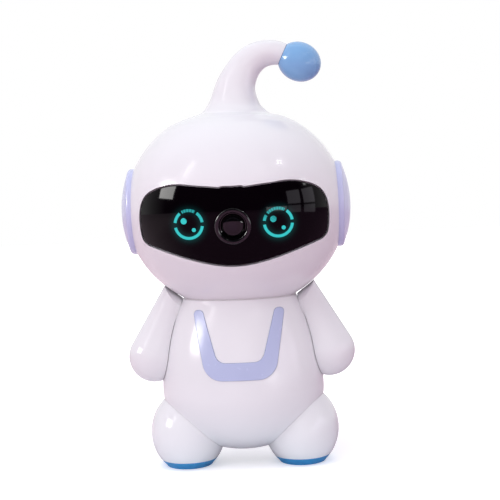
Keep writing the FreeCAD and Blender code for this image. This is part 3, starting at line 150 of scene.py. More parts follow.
# lit arcs of the right and left eye: start and end in degrees, from +X towards +Z
EYE_ARCS = {
    -1: [(192, 352), (8, 52), (62, 118), (128, 172)],
    1: [(188, 354), (8, 52), (62, 138), (148, 172)],
}
EYE_SHIFT = {-1: (0.3, 1.5), 1: (0.15, 0.9)}  # where the lit marks sit from the middle of their light boxes
PUPIL_PLACE = (-2.5, 1.75)
GLINT_PLACE = (2.6, -2.9)
CAMERA_DROP = 8.3
BEZEL_R = 9.3
CAMERA_BORE_R = 7.1
LENS_RISE = 2.0
EAR_SEAT_X = HEAD_R - 6.5
EAR_RIM_X = EAR_SEAT_X + 3.8
EAR_MOUTH = [(0.0, 0.0), (0.0, 0.5), (0.08, 0.8), (0.25, 1.15), (0.5, 1.5), (1.0, 2.0), (3.0, 3.2)]

BELLY_Z = 41.0
NECK_EDGE_R = 31.0
TORSO_WALL = 2.6
DECK_T = 2.4
NECK_BORE_R = 18.1
BEND_RUN = TORSO_R - NECK_EDGE_R
BEND_RISE = TORSO_TOP - BELLY_Z
BEND_R = (BEND_RUN**2 + BEND_RISE**2) / (2 * BEND_RUN)
TRIM_OUT_TOP = 24.3
TRIM_OUT_BOTTOM = 18.2
TRIM_IN_TOP = 19.1
TRIM_IN_BOTTOM = 11.7
TRIM_BAR_TOP = TRIM_BOTTOM + 9.1
TRIM_SINK = 1.2
BAND_ROOM = 0.04
HUB_R = 8.95
HUB_X = 31.0
HUB_DISC = [(8.9, 31.35), (10.4, 33.5), (10.4, 36.1), (10.1, 36.4), (8.6, 36.45), (8.6, 42.0)]  # radius, x
HUB_ROOM = 0.35
HUB_ROOM_END = 36.9
HUB_BOSS_R = 13.0
HUB_BOSS_T = 5.5
BOSS_COVER = 0.25  # skin over a shoulder's boss
HUB_BOSS_X = HUB_X - HUB_BOSS_T
SHAFT_BORE_R = 4.6

ARM_GAP = 0.35  # between the arm and the body it swings past
ARM_HEAD_GAP = 0.4
ARM_SWEEP = (0, 15, 30, 45, 60, 75, 90)  # degrees of swing for which the body trims the arm
SHOULDER_OUT = 2.6
SHOULDER_LIFT = 4.3
SHOULDER_Y = -1.5
SHOULDER_BALL_R = 8.5
ARM_RUN_ON = 15.0  # how far the arm's cone runs on past the shoulder before the head trims it
HAND_OUT = 5.3
HAND_DROP = 22.2
HAND_Y = -4.5
HAND_R = 14.0
COVER_EDGE = 1.1
COVER_SEAM = 0.16
COVER_SEAM_DEPTH = 0.6

FOOT_AXES = (20.2, 26.0, 22.7)
FOOT_Z = 18.5
TREAD = [(0.62, 0.0), (0.63, 0.5), (0.68, 0.5), (0.69, 0.0)]  # share of the oval's radius, depth

SCREW_SEAT = 10.0
SCREW_HOLE_R = 2.9
SCREW_SHANK_R = 1.6
SCREW_POST_R = 4.4
HEAD_SCREWS = [(30.0, HEAD_Z + 25.0), (34.0, HEAD_Z - 28.0)]
TORSO_SCREWS = [(22.0, 70.0), (28.0, 36.0)]
GRILLE_Z = 67.0
GRILLE_PITCH = 3.6
GRILLE_RINGS = 3
BUTTONS = {"minus": -11.0, "play": 0.0, "plus": 11.0}
BUTTON_NODES = {"minus": "volume_down_button", "play": "play_button", "plus": "volume_up_button"}
BUTTON_Z = 44.0
BUTTON_R = 3.6
BUTTON_HOLE_R = 3.75
PORT = (-9.0, 33.0, 9.24, 3.56)  # middle x and z, width, height
KNOB_SLOT = (9.0, 33.0, 6.5, 2.7)
KNOB_SIZE = (3.2, 2.4)
WASHER_OUT = 30.6

VISOR_GLOSS = 0.12
# stretches of each eye's ring that are dimmer: start and end in degrees, level, dashes
EYE_DIM = {
    -1: [(58.0, 122.0, 0.25, 30.0), (6.0, 54.0, 0.75, 40.0)],
    1: [(56.0, 142.0, 0.25, 34.0), (146.0, 175.0, 0.5, 8.0)],
}

# ---------------------------------------------------------------- the stage's fixed facts
LENS_MM = 105.7
SENSOR_MM = 36.0
FLOOR_SIZE = 6.0
FLOOR_IN_GLOSS = (0.40, 0.22, 0.32)
FLOOR_BOUNCE = (0.61, 0.41, 0.48)  # what the floor throws back from further off
RAYS = ("Camera", "Glossy", "Transmission")


# ---------------------------------------------------------------- sizes and colours a user would change
class SizeSettings(bpy.types.PropertyGroup):
    """Sizes of the edges, seams, bands and face marks"""

    seam_gap: FloatProperty(
        name="Seam gap", description="Half of the gap between front and rear shells", default=0.00006, unit="LENGTH"
    )
    seam_round: FloatProperty(
        name="Seam rounding", description="Rounding of the shells along their seam", default=0.0003, unit="LENGTH"
    )
    visor_lip: FloatProperty(
        name="Visor lip", description="Rounding of the head round the visor", default=0.00075, unit="LENGTH"
    )
    visor_inset: FloatProperty(
        name="Visor inset", description="How far the visor lies below the head's skin", default=0.00025, unit="LENGTH"
    )
    eye_stroke: FloatProperty(
        name="Eye ring width", description="Width of the eyes' lit rings", default=0.00155, unit="LENGTH"
    )
    pupil: FloatProperty(name="Pupil", description="Radius of the eyes' large dot", default=0.0016, unit="LENGTH")
    glint: FloatProperty(name="Glint", description="Radius of the eyes' small dot", default=0.00105, unit="LENGTH")
    glow: FloatProperty(
        name="Eye glow", description="Light the visor scatters round the eyes", default=0.06, min=0.0, max=1.0
    )
    band_proud: FloatProperty(
        name="Band height", description="How far the belly band stands proud", default=0.0005, unit="LENGTH"
    )
    band_edge: FloatProperty(
        name="Band edge", description="Rounding of the belly band's edge", default=0.00035, unit="LENGTH"
    )
    groove_edge: FloatProperty(
        name="Groove edge", description="Rounding of the body round the band", default=0.0003, unit="LENGTH"
    )
    hole_edge: FloatProperty(
        name="Hole edge", description="Rounding of the openings in the back", default=0.0003, unit="LENGTH"
    )
    grille_hole: FloatProperty(
        name="Sound hole", description="Radius of each hole of the grille", default=0.0009, unit="LENGTH"
    )
    sole_round: FloatProperty(
        name="Sole rounding", description="Rounding of the soles' lower edge", default=0.0008, unit="LENGTH"
    )


class StageSettings(bpy.types.PropertyGroup):
    """Camera, lamps and surroundings"""

    camera_distance: FloatProperty(
        name="Camera distance", description="From the robot's axis to the camera", default=0.80, unit="LENGTH"
    )
    camera_height: FloatProperty(
        name="Camera height", description="Height of the camera above the floor", default=0.155, unit="LENGTH"
    )
    camera_turn: FloatProperty(
        name="Camera turn",
        description="How far the camera stands to the robot's own left",
        default=math.radians(2.0),
        subtype="ANGLE",
    )
    camera_roll: FloatProperty(
        name="Camera roll", description="Roll about its line of sight", default=math.radians(-2.4), subtype="ANGLE"
    )
    aim: FloatVectorProperty(
        name="Aim", description="Point the camera looks at", default=(0.0066, 0.0, 0.1155), subtype="TRANSLATION"
    )
    shade_tint: FloatVectorProperty(
        name="Shade tint", description="Light that reaches undersides", default=(0.56, 0.34, 0.41), subtype="COLOR"
    )
    sky_tint: FloatVectorProperty(
        name="Sky tint", description="Light that reaches upper faces", default=(0.60, 0.60, 0.66), subtype="COLOR"
    )
    room_tint: FloatVectorProperty(
        name="Room tint", description="What gloss shows of the room in front", default=(0.012, 0.010, 0.016), subtype="COLOR"
    )


class ColourSettings(bpy.types.PropertyGroup):
    """Colours of the mouldings"""

    shell: FloatVectorProperty(
        name="Shell", description="White of the head, body, arms and feet", default=(0.855, 0.862, 0.885), subtype="COLOR"
    )
    ear: FloatVectorProperty(
        name="Ear pads", description="Periwinkle of the ear pads", default=(0.60, 0.64, 0.90), subtype="COLOR"
    )
    tip: FloatVectorProperty(
        name="Antenna tip", description="Light blue of the antenna's ball", default=(0.235, 0.47, 0.78), subtype="COLOR"
    )
    trim: FloatVectorProperty(
        name="Belly band", description="Soft blue of the band and buttons", default=(0.52, 0.58, 0.82), subtype="COLOR"
    )
    sole: FloatVectorProperty(
        name="Soles", description="Bright blue of the rubber soles", default=(0.045, 0.34, 0.70), subtype="COLOR"
    )
    visor: FloatVectorProperty(
        name="Visor", description="Tint of the dark window", default=(0.0014, 0.0006, 0.0014), subtype="COLOR"
    )
    eye: FloatVectorProperty(
        name="Eye light", description="Teal of the lit eyes", default=(0.030, 0.53, 0.52), subtype="COLOR"
    )


# ---------------------------------------------------------------- materials
class Reading:
    """A value in a material's node tree. Python's operators on it add Math nodes."""

    def __init__(self, finish, socket):
        self.finish = finish
        self.socket = socket

    def __add__(self, other):
        return self.finish.maths("ADD", self, other)

    def __sub__(self, other):
        return self.finish.maths("SUBTRACT", self, other)

    def __rsub__(self, other):
        return self.finish.maths("SUBTRACT", other, self)

    def __mul__(self, other):
        return self.finish.maths("MULTIPLY", self, other)

    def __truediv__(self, other):
        return self.finish.maths("DIVIDE", self, other)

    def __pow__(self, other):
        return self.finish.maths("POWER", self, other)

    def __lt__(self, other):
        return self.finish.maths("LESS_THAN", self, other)

    def __gt__(self, other):
        return self.finish.maths("GREATER_THAN", self, other)

    __radd__ = __add__
    __rmul__ = __mul__


class Nodes:
    """Makes and links the nodes of one tree."""

    def __init__(self, tree):
        self.tree = tree

    def node(self, kind, settings=None, values=None, output=0):
        """Add a node: first its settings, then its sockets' values or links."""
        node = self.tree.nodes.new(kind)
        for label, value in (settings or {}).items():
            if label == "stops":
                self.fill_ramp(node.color_ramp, value)
            else:
                setattr(node, label, value)
        for key, value in (values or {}).items():
            self.feed(node.inputs[key], value)
        return Reading(self, node.outputs[output])

    def feed(self, socket, value):
        if isinstance(value, Reading):
            self.tree.links.new(value.socket, socket)
        else:
            socket.default_value = value

    def fill_ramp(self, ramp, stops):
        while len(ramp.elements) < len(stops):
            ramp.elements.new(0.5)
        for element, (place, colour) in zip(ramp.elements, stops):
            element.position = place
            element.color = (*colour, 1.0)

    def maths(self, operation, *values):
        return self.node("ShaderNodeMath", {"operation": operation}, dict(enumerate(values)))

    def clamped(self, value, low=0.0, high=1.0):
        return self.node("ShaderNodeClamp", None, {"Value": value, "Min": low, "Max": high})

    def place(self, kind="Object"):
        """Object coordinates in metres, or a world's directions."""
        return self.node("ShaderNodeTexCoord", None, None, kind)

    def axes(self, kind="Object"):
        parts = self.node("ShaderNodeSeparateXYZ", None, {"Vector": self.place(kind)})
        outputs = parts.socket.node.outputs
        return [Reading(self, outputs[axis]) for axis in "XYZ"]

    def rays(self):
        """Whether a camera, a glossy or a transmission ray is looking."""
        return [self.node("ShaderNodeLightPath", None, None, "Is %s Ray" % kind) for kind in RAYS]

    def noise(self, size, detail=2.0, roughness=0.5):
        """Soft noise from 0 to 1 with patches about size metres across."""
        settings = {"noise_dimensions": "3D"}
        values = {"Vector": self.place(), "Scale": 1.0 / size, "Detail": detail, "Roughness": roughness}
        return self.node("ShaderNodeTexNoise", settings, values, "Fac")

    def mixed(self, factor, first, second):
        """Colour between two colours."""
        settings = {"data_type": "RGBA"}
        values = {0: factor, 6: tinted(first), 7: tinted(second)}
        return self.node("ShaderNodeMix", settings, values, 2)

    def bumped(self, height, depth, strength=1.0):
        """Bumps of a real depth in metres."""
        return self.node("ShaderNodeBump", None, {"Strength": strength, "Distance": depth, "Height": height})


class Finish(Nodes):
    """A material on the Principled shader, named after what it looks like."""

    def __init__(self, name, **constants):
        self.material = bpy.data.materials.new(name)
        self.material.use_nodes = True
        super().__init__(self.material.node_tree)
        self.shader = self.tree.nodes["Principled BSDF"]
        for label, value in constants.items():
            self.shader.inputs[label.replace("_", " ").title().replace("Ior", "IOR")].default_value = value

    def set(self, label, value):
        self.feed(self.shader.inputs[label], value)


def tinted(colour):
    return colour if isinstance(colour, Reading) else (*colour, 1.0)


def gloss_white(name, colours):
    """Moulded ABS with a high gloss: hardly any grain, and a very slight waviness."""
    finish = Finish(name)
    cloud = finish.noise(0.035, 3.0)
    shell = Vector(colours.shell)
    finish.set("Base Color", finish.mixed(cloud, shell * 0.985, shell))
    finish.set("Roughness", 0.15 + 0.06 * finish.noise(0.004, 4.0))
    finish.set("Normal", finish.bumped(finish.noise(0.011, 1.0), 0.00003))
    return finish.material


def gloss_colour(name, colour, roughness=0.2):
    """Tinted gloss moulding, slightly deeper where the tint gathers."""
    finish = Finish(name)
    cloud = finish.noise(0.012, 4.0)
    colour = Vector(colour)
    finish.set("Base Color", finish.mixed(cloud, colour * 0.94, colour))
    finish.set("Roughness", roughness + 0.08 * finish.noise(0.003, 4.0))
    finish.set("Normal", finish.bumped(finish.noise(0.008, 2.0), 0.00003))
    return finish.material


def ear_blue(name, colours):
    return gloss_colour(name, colours.ear)


def tip_blue(name, colours):
    return gloss_colour(name, colours.tip, 0.12)


def trim_blue(name, colours):
    return gloss_colour(name, colours.trim, 0.22)


def button_blue(name, colours):
    """Button caps with a printed minus, triangle and plus."""
    finish = Finish(name)
    x, y, z = finish.axes()
    z = z - BUTTON_Z * METRES
    print_mask = 0.0
    for mark, button_x in BUTTONS.items():
        across = x - button_x * METRES
        flat = (finish.maths("ABSOLUTE", across) < 0.0014) * (finish.maths("ABSOLUTE", z) < 0.0003)
        if mark == "plus":
            upright = (finish.maths("ABSOLUTE", z) < 0.0014) * (finish.maths("ABSOLUTE", across) < 0.0003)
            flat = finish.maths("MAXIMUM", flat, upright)
        if mark == "play":
            slope = finish.maths("ABSOLUTE", z) * 1.1
            flat = (across < 0.0012) * ((slope - across) < 0.0011)
        print_mask = flat + print_mask
    front = y > 0.0405
    mask = finish.clamped(print_mask * front)
    grain = finish.mixed(finish.noise(0.002), Vector(colours.trim) * 0.93, colours.trim)
    finish.set("Base Color", finish.mixed(mask, grain, (0.85, 0.86, 0.9)))
    finish.set("Roughness", 0.32 + 0.1 * finish.noise(0.0012, 3.0))
    return finish.material


def sole_blue(name, colours):
    """Soft rubber with a satin, faintly mottled skin."""
    finish = Finish(name)
    mottle = finish.noise(0.0015, 5.0)
    colour = Vector(colours.sole)
    finish.set("Base Color", finish.mixed(mottle, colour * 0.85, colour))
    finish.set("Roughness", 0.38 + 0.15 * mottle)
    finish.set("Normal", finish.bumped(finish.noise(0.0006, 3.0), 0.00003))
    return finish.material


def eye_axes(finish, side):
    """Distance from an eye's centre and the angle round it."""
    x, y, z = finish.axes()
    shift_x, shift_z = EYE_SHIFT[side]
    across = x - (side * EYE_X + shift_x) * METRES
    rise = z - (HEAD_Z - EYE_DROP + shift_z) * METRES
    distance = finish.maths("SQRT", across * across + rise * rise)
    return distance, finish.maths("ARCTAN2", rise, across)


def visor_black(name, colours):
    """Tinted acrylic, near black, with a painted glow round the eyes: emission on the visor that stands in for their
    scattered light.
    """
    finish = Finish(name, specular_ior_level=VISOR_GLOSS, coat_weight=0.0)
    tint = finish.mixed(finish.noise(0.02), colours.visor, Vector(colours.visor) * 1.5)
    finish.set("Base Color", tint)
    finish.set("Roughness", 0.045 + 0.03 * finish.noise(0.02, 3.0))
    sizes = bpy.context.scene.robot_sizes
    half = sizes.eye_stroke / 2
    # painted glow: emission in a soft band round each eye's ring, stronger below the eye
    glow = 0.0
    for side in (-1, 1):
        distance, angle = eye_axes(finish, side)
        ring = (distance - EYE_R * METRES + half) / 0.0022
        lower = 0.75 - 0.25 * finish.maths("SINE", angle)
        glow = finish.maths("EXPONENT", ring * ring * -1.0) * lower + glow
    finish.set("Emission Color", finish.mixed(finish.clamped(glow), (0, 0, 0), Vector(colours.eye) * sizes.glow))
    finish.shader.inputs["Emission Strength"].default_value = 1.0
    return finish.material


def bezel_black(name, colours):
    finish = Finish(name, specular_ior_level=0.9)
    finish.set("Base Color", finish.mixed(finish.noise(0.004), (0.001, 0.001, 0.0015), (0.003, 0.0025, 0.0035)))
    finish.set("Roughness", 0.16 + 0.05 * finish.noise(0.002, 3.0))
    return finish.material


def lens_black(name, colours):
    """Coated glass over a dark barrel, with the faint rings of the parts behind it."""
    finish = Finish(name, specular_ior_level=0.7)
    x, y, z = finish.axes()
    rise = z - (HEAD_Z - CAMERA_DROP) * METRES
    distance = finish.maths("SQRT", x * x + rise * rise)
    barrel = finish.maths("ABSOLUTE", distance - 0.0042) < 0.00035
    heart = distance < 0.0022
    base = finish.mixed(barrel, (0.0008, 0.0008, 0.001), (0.004, 0.004, 0.005))
    finish.set("Base Color", finish.mixed(heart, base, (0.002, 0.0015, 0.004)))
    finish.set("Roughness", 0.03 + 0.02 * finish.noise(0.004))
    return finish.material


def eye_light(name, colours, side):
    """Lit light guide: brightest along its middle, with dim dashed stretches on top."""
    finish = Finish(name, specular_ior_level=0.2)
    distance, angle = eye_axes(finish, side)
    half = bpy.context.scene.robot_sizes.eye_stroke / 2
    middle = (distance - EYE_R * METRES + half) / half
    ring = finish.clamped(1.15 - 0.55 * middle * middle)
    inside = distance < EYE_R * METRES - 2 * half - 0.0004
    level = finish.maths("MAXIMUM", ring, inside)
    for start, end, dim, dashes in EYE_DIM[side]:
        there = (angle > math.radians(start)) * (angle < math.radians(end))
        dash = finish.maths("SINE", angle * dashes) * 0.5 + 0.5
        level = level * (1.0 - there * (1.0 - dim) * (0.45 + 0.55 * dash))
    level = finish.clamped(level * (0.86 + 0.28 * finish.noise(0.0012, 2.0)))
    lit = finish.mixed(level, Vector(colours.eye) * 0.12, colours.eye)
    finish.set("Emission Color", lit)
    finish.set("Base Color", finish.mixed(level, (0.0, 0.02, 0.03), (0.01, 0.08, 0.09)))
    finish.set("Roughness", 0.2 + 0.05 * finish.noise(0.002))
    finish.shader.inputs["Emission Strength"].default_value = 1.0
    return finish.material


def left_eye_light(name, colours):
    return eye_light(name, colours, 1)


def right_eye_light(name, colours):
    return eye_light(name, colours, -1)


def moulded(name, dark, light, roughness, grain):
    """Plain moulding or metal: two tones and a grain of a real size."""
    finish = Finish(name)
    patches = finish.noise(grain * 6, 4.0)
    finish.set("Base Color", finish.mixed(patches, dark, light))
    finish.set("Roughness", roughness + 0.14 * finish.noise(grain, 3.0))
    finish.set("Normal", finish.bumped(finish.noise(grain, 2.0), 0.00002))
    return finish


def inner_black(name, colours):
    return moulded(name, (0.016, 0.016, 0.018), (0.028, 0.028, 0.03), 0.4, 0.0006).material


def inner_white(name, colours):
    return moulded(name, (0.66, 0.65, 0.66), (0.74, 0.73, 0.74), 0.42, 0.0008).material


def nylon(name, colours):
    return moulded(name, (0.60, 0.58, 0.52), (0.68, 0.66, 0.60), 0.45, 0.001).material


def metal(name, dark, light, roughness):
    finish = moulded(name, dark, light, roughness, 0.0004)
    finish.shader.inputs["Metallic"].default_value = 1.0
    return finish.material


def plated_steel(name, colours):
    return metal(name, (0.50, 0.50, 0.51), (0.64, 0.64, 0.65), 0.22)


def magnet_steel(name, colours):
    return metal(name, (0.30, 0.30, 0.31), (0.42, 0.42, 0.43), 0.34)


def lamp_white(name, colours):
    finish = moulded(name, (0.78, 0.76, 0.68), (0.84, 0.82, 0.74), 0.3, 0.0003)
    return finish.material


def battery_grey(name, colours):
    """Shrink sleeve with soft wrinkles."""
    finish = Finish(name)
    wrinkle = finish.noise(0.006, 6.0)
    finish.set("Base Color", finish.mixed(wrinkle, (0.13, 0.16, 0.22), (0.17, 0.20, 0.27)))
    finish.set("Roughness", 0.3 + 0.2 * wrinkle)
    finish.set("Normal", finish.bumped(wrinkle, 0.0002))
    return finish.material


def board_green(name, colours):
    """Circuit board: solder mask with traces and pads showing through."""
    finish = Finish(name)
    x, y, z = finish.axes()
    cells = {"Vector": finish.place(), "Scale": 520.0}
    trace = finish.node("ShaderNodeTexVoronoi", {"feature": "DISTANCE_TO_EDGE", "distance": "MANHATTAN"}, cells, 0)
    lines = trace < 0.09
    pads = finish.node("ShaderNodeTexVoronoi", {"feature": "F1"}, {"Vector": finish.place(), "Scale": 260.0}, 0) < 0.14
    mask = finish.mixed(lines, (0.008, 0.075, 0.035), (0.02, 0.14, 0.06))
    finish.set("Base Color", finish.mixed(pads, mask, (0.62, 0.50, 0.22)))
    finish.set("Roughness", 0.35 + 0.1 * finish.noise(0.001))
    finish.set("Normal", finish.bumped(lines, 0.00003))
    return finish.material


FINISHES = {
    "white_shell": gloss_white,
    "ear_blue": ear_blue,
    "tip_blue": tip_blue,
    "trim_blue": trim_blue,
    "button_blue": button_blue,
    "sole_blue": sole_blue,
    "visor_black": visor_black,
    "bezel_black": bezel_black,
    "lens_glass": lens_black,
    "left_eye": left_eye_light,
    "right_eye": right_eye_light,
    "inner_black": inner_black,
    "inner_white": inner_white,
    "lamp_white": lamp_white,
    "board_green": board_green,
    "nylon": nylon,
    "plated_steel": plated_steel,
    "magnet_steel": magnet_steel,
    "battery_grey": battery_grey,
}


def finish_of(key):
    """The material of one finish, made when it is first asked for."""
    name = key + "_finish"
    made = bpy.data.materials.get(name)
    return made or FINISHES[key](name, bpy.context.scene.robot_colours)


# ---------------------------------------------------------------- meshes, in millimetres until finished
def curve_through(points, runs):
    """Smooth run of points through a few given ones, each of any number of values."""
    out = []
    for i in range(len(points) - 1):
        p0 = points[max(i - 1, 0)]
        p1, p2 = points[i], points[i + 1]
        p3 = points[min(i + 2, len(points) - 1)]
        for step in range(runs):
            t = step / runs
            out.append(
                tuple(
                    0.5 * (2 * b + (c - a) * t + (2 * a - 5 * b + 4 * c - d) * t * t + (3 * b - a - 3 * c + d) * t**3)
                    for a, b, c, d in zip(p0, p1, p2, p3)
                )
            )
    return out + [tuple(points[-1])]


def arc(centre, radius, start, end, steps):
    """Points of an arc or, with two radii, of an oval."""
    a, c = radius if isinstance(radius, tuple) else (radius, radius)
    turns = [start + (end - start) * i / steps for i in range(steps + 1)]
    return [(centre[0] + a * math.cos(t), centre[1] + c * math.sin(t)) for t in turns]


def chained(bm, points, closed):
    verts = [bm.verts.new(point) for point in points]
    pairs = list(zip(verts, verts[1:])) + ([(verts[-1], verts[0])] if closed else [])
    return verts, [bm.edges.new(pair) for pair in pairs]


def tidied(bm):
    bmesh.ops.remove_doubles(bm, verts=bm.verts, dist=0.0005)
    bmesh.ops.recalc_face_normals(bm, faces=bm.faces)
    return bm


def turned(profile, steps=160, place=None):
    """Profile of (radius, height) turned once about Z, then put in its place."""
    bm = bmesh.new()
    closed = profile[0][0] > 0.001 or profile[-1][0] > 0.001
    verts, edges = chained(bm, [(r, 0.0, h) for r, h in profile], closed)
    turn = {"cent": (0, 0, 0), "axis": (0, 0, 1), "angle": 2 * math.pi}
    bmesh.ops.spin(bm, geom=verts + edges, steps=steps, use_merge=True, **turn)
    tidied(bm)
    if place:
        bmesh.ops.transform(bm, matrix=place, verts=bm.verts)
    return bm


def along(axis, at):
    """Place that turns +Z to point along an axis."""
    return Matrix.Translation(at) @ Vector((0, 0, 1)).rotation_difference(Vector(axis)).to_matrix().to_4x4()


def rod(radius, start, end, steps=48):
    start, end = Vector(start), Vector(end)
    length = (end - start).length
    return turned([(0, 0), (radius, 0), (radius, length), (0, length)], steps, along(end - start, start))


def ring_place(x, z, radius, lean):
    return Matrix.Translation((x, 0, z)) @ Matrix.Rotation(lean, 4, "Y") @ Matrix.Scale(radius, 4)


def swept_rings(stations, steps=160):
    """Closed wall through a loop of round sections: centre x and z, radius, lean."""
    bm = bmesh.new()
    bmesh.ops.create_circle(bm, segments=steps, radius=1.0)
    bmesh.ops.transform(bm, matrix=ring_place(*stations[0]), verts=bm.verts)
    first = rim = list(bm.edges)
    for before, after in zip(stations, stations[1:]):
        grown = bmesh.ops.extrude_edge_only(bm, edges=rim)["geom"]
        rim = [item for item in grown if isinstance(item, bmesh.types.BMEdge) and item.is_boundary]
        verts = [item for item in grown if isinstance(item, bmesh.types.BMVert)]
        move = ring_place(*after) @ ring_place(*before).inverted()
        bmesh.ops.transform(bm, matrix=move, verts=verts)
    bmesh.ops.bridge_loops(bm, edges=first + rim)
    return tidied(bm)


def plug(outline, levels, skin, ends):
    """Bar along Y whose outline changes with its depth below a skin; ends are two flat depths."""
    rows = [[(x, skin(x, z, depth), z) for x, z in spread(outline, grow)] for grow, depth in levels]
    rows.insert(0, [(x, ends[0], z) for x, y, z in rows[0]])
    rows.append([(x, ends[1], z) for x, y, z in rows[-1]])
    bm = bmesh.new()
    verts, rim = chained(bm, rows[0], True)
    bmesh.ops.edgeloop_fill(bm, edges=rim)
    order = {vert: i for i, vert in enumerate(verts)}
    for row in rows[1:]:
        grown = bmesh.ops.extrude_edge_only(bm, edges=rim)["geom"]
        rim = [item for item in grown if isinstance(item, bmesh.types.BMEdge) and item.is_boundary]
        verts = [item for item in grown if isinstance(item, bmesh.types.BMVert)]
        below = {}
        for vert in verts:
            below[vert] = next(order[e.other_vert(vert)] for e in vert.link_edges if e.other_vert(vert) in order)
            vert.co = row[below[vert]]
        order = below
    bmesh.ops.edgeloop_fill(bm, edges=rim)
    return tidied(bm)


def spread(outline, grow):
    """Closed outline, clockwise as the camera sees it, moved outwards by grow."""
    out = []
    for i, (x, z) in enumerate(outline):
        (x0, z0), (x1, z1) = outline[i - 1], outline[(i + 1) % len(outline)]
        run = math.hypot(x1 - x0, z1 - z0)
        out.append((x - grow * (z1 - z0) / run, z + grow * (x1 - x0) / run))
    return out


def rounded(corners, pitch=1.2, steps=8):
    """Closed outline through rounded corners (x, z, radius), with its straight runs divided."""
    out = []
    for i, (x, z, radius) in enumerate(corners):
        here = Vector((x, z))
        back = (Vector(corners[i - 1][:2]) - here).normalized()
        ahead = (Vector(corners[(i + 1) % len(corners)][:2]) - here).normalized()
        half_turn = back.angle(ahead) / 2
        centre = here + (back + ahead).normalized() * radius / math.sin(half_turn)
        start = here + back * radius / math.tan(half_turn) - centre
        end = here + ahead * radius / math.tan(half_turn) - centre
        swing = start.angle_signed(end)
        for step in range(steps + 1):
            point = start.copy()
            point.rotate(Matrix.Rotation(-swing * step / steps, 2))
            out.append(centre + point)
    full = []
    for here, after in zip(out, out[1:] + out[:1]):
        runs = max(1, round((after - here).length / pitch))
        full += [tuple(here.lerp(after, step / runs)) for step in range(runs)]
    return full


def lip(radius, grow=0.0, depth=0.0, side=1, steps=6):
    """Levels of a plug that round an edge: a hole's mouth (+1) or a plate's rim (-1)."""
    turns = [math.pi / 2 * i / steps for i in range(steps + 1)]
    return [(grow + side * radius * (1 - math.sin(t)), depth + radius * (1 - math.cos(t))) for t in turns]


def as_object(bm):
    mesh = bpy.data.meshes.new("work")
    bm.to_mesh(mesh)
    bm.free()
    item = bpy.data.objects.new("work", mesh)
    bpy.context.scene.collection.objects.link(item)
    return item


def discard(item):
    mesh = item.data
    bpy.data.objects.remove(item)
    bpy.data.meshes.remove(mesh)


def carved(bm, tools, operation="DIFFERENCE"):
    """A closed mesh with others taken away from it, joined to it or met with it."""
    blank = as_object(bm)
    tools = [as_object(tool) for tool in tools]
    for tool in tools:
        step = blank.modifiers.new("step", "BOOLEAN")
        step.solver = "EXACT"
        step.operation = operation
        step.object = tool
    graph = bpy.context.evaluated_depsgraph_get()
    mesh = bpy.data.meshes.new_from_object(blank.evaluated_get(graph))
    result = bmesh.new()
    result.from_mesh(mesh)
    bpy.data.meshes.remove(mesh)
    for item in [blank] + tools:
        discard(item)
    if not result.faces:
        raise RuntimeError("a %s left nothing" % operation.lower())
    return result


def joined(parts):
    """Separate closed meshes in one."""
    mesh = bpy.data.meshes.new("work")
    whole = bmesh.new()
    for part in parts:
        part.to_mesh(mesh)
        part.free()
        whole.from_mesh(mesh)
    bpy.data.meshes.remove(mesh)
    return whole


def halved(bm, side, sizes):
    """The part in front of the seam (-1) or behind it (+1), with a rounded edge."""
    geom = bm.verts[:] + bm.edges[:] + bm.faces[:]
    plane = {"plane_co": (0, side * mm(sizes.seam_gap), 0), "plane_no": (0, -side, 0)}
    bmesh.ops.bisect_plane(bm, geom=geom, dist=1e-5, clear_outer=True, **plane)
    open_edges = [edge for edge in bm.edges if edge.is_boundary]
    filled = bmesh.ops.holes_fill(bm, edges=open_edges, sides=0)["faces"]
    rims = list({edge for face in filled for edge in face.edges})
    bmesh.ops.bevel(bm, geom=rims, offset=mm(sizes.seam_round), segments=2, profile=0.5, affect="EDGES", material=-1)
    bmesh.ops.recalc_face_normals(bm, faces=bm.faces)
    return bm


class Oval:
    """An oval ball's skin."""

    def __init__(self, centre, radii):
        self.centre = Vector(centre)
        self.radii = Vector(radii)

    def off(self, point):
        local = point - self.centre
        scaled = Vector([a / b for a, b in zip(local, self.radii)])
        return (scaled.length - 1) * min(self.radii)

    def normal(self, point):
        local = point - self.centre
        return Vector([a / b**2 for a, b in zip(local, self.radii)]).normalized()


class Egg:
    """The torso's skin, moved outwards by grow."""

    def __init__(self, grow=0.0):
        self.grow = grow

    def off(self, point):
        if not TORSO_BOTTOM - self.grow < point.z < TORSO_TOP + 0.01:
            return TORSO_R
        return math.hypot(point.x, point.y) - torso_radius(point.z, self.grow)

    def normal(self, point):
        around = Vector((point.x, point.y, 0.0))
        if around.length < 0.001:
            return Vector((0, 0, -1))
        if point.z >= BELLY_Z:
            rise = (point.z - BELLY_Z) / (around.length - TORSO_R + BEND_R)
        else:
            a, c = TORSO_R + self.grow, BELLY_Z - TORSO_BOTTOM + self.grow
            rise = (point.z - BELLY_Z) * a * a / (c * c * around.length)
        return (around.normalized() + Vector((0, 0, rise))).normalized()


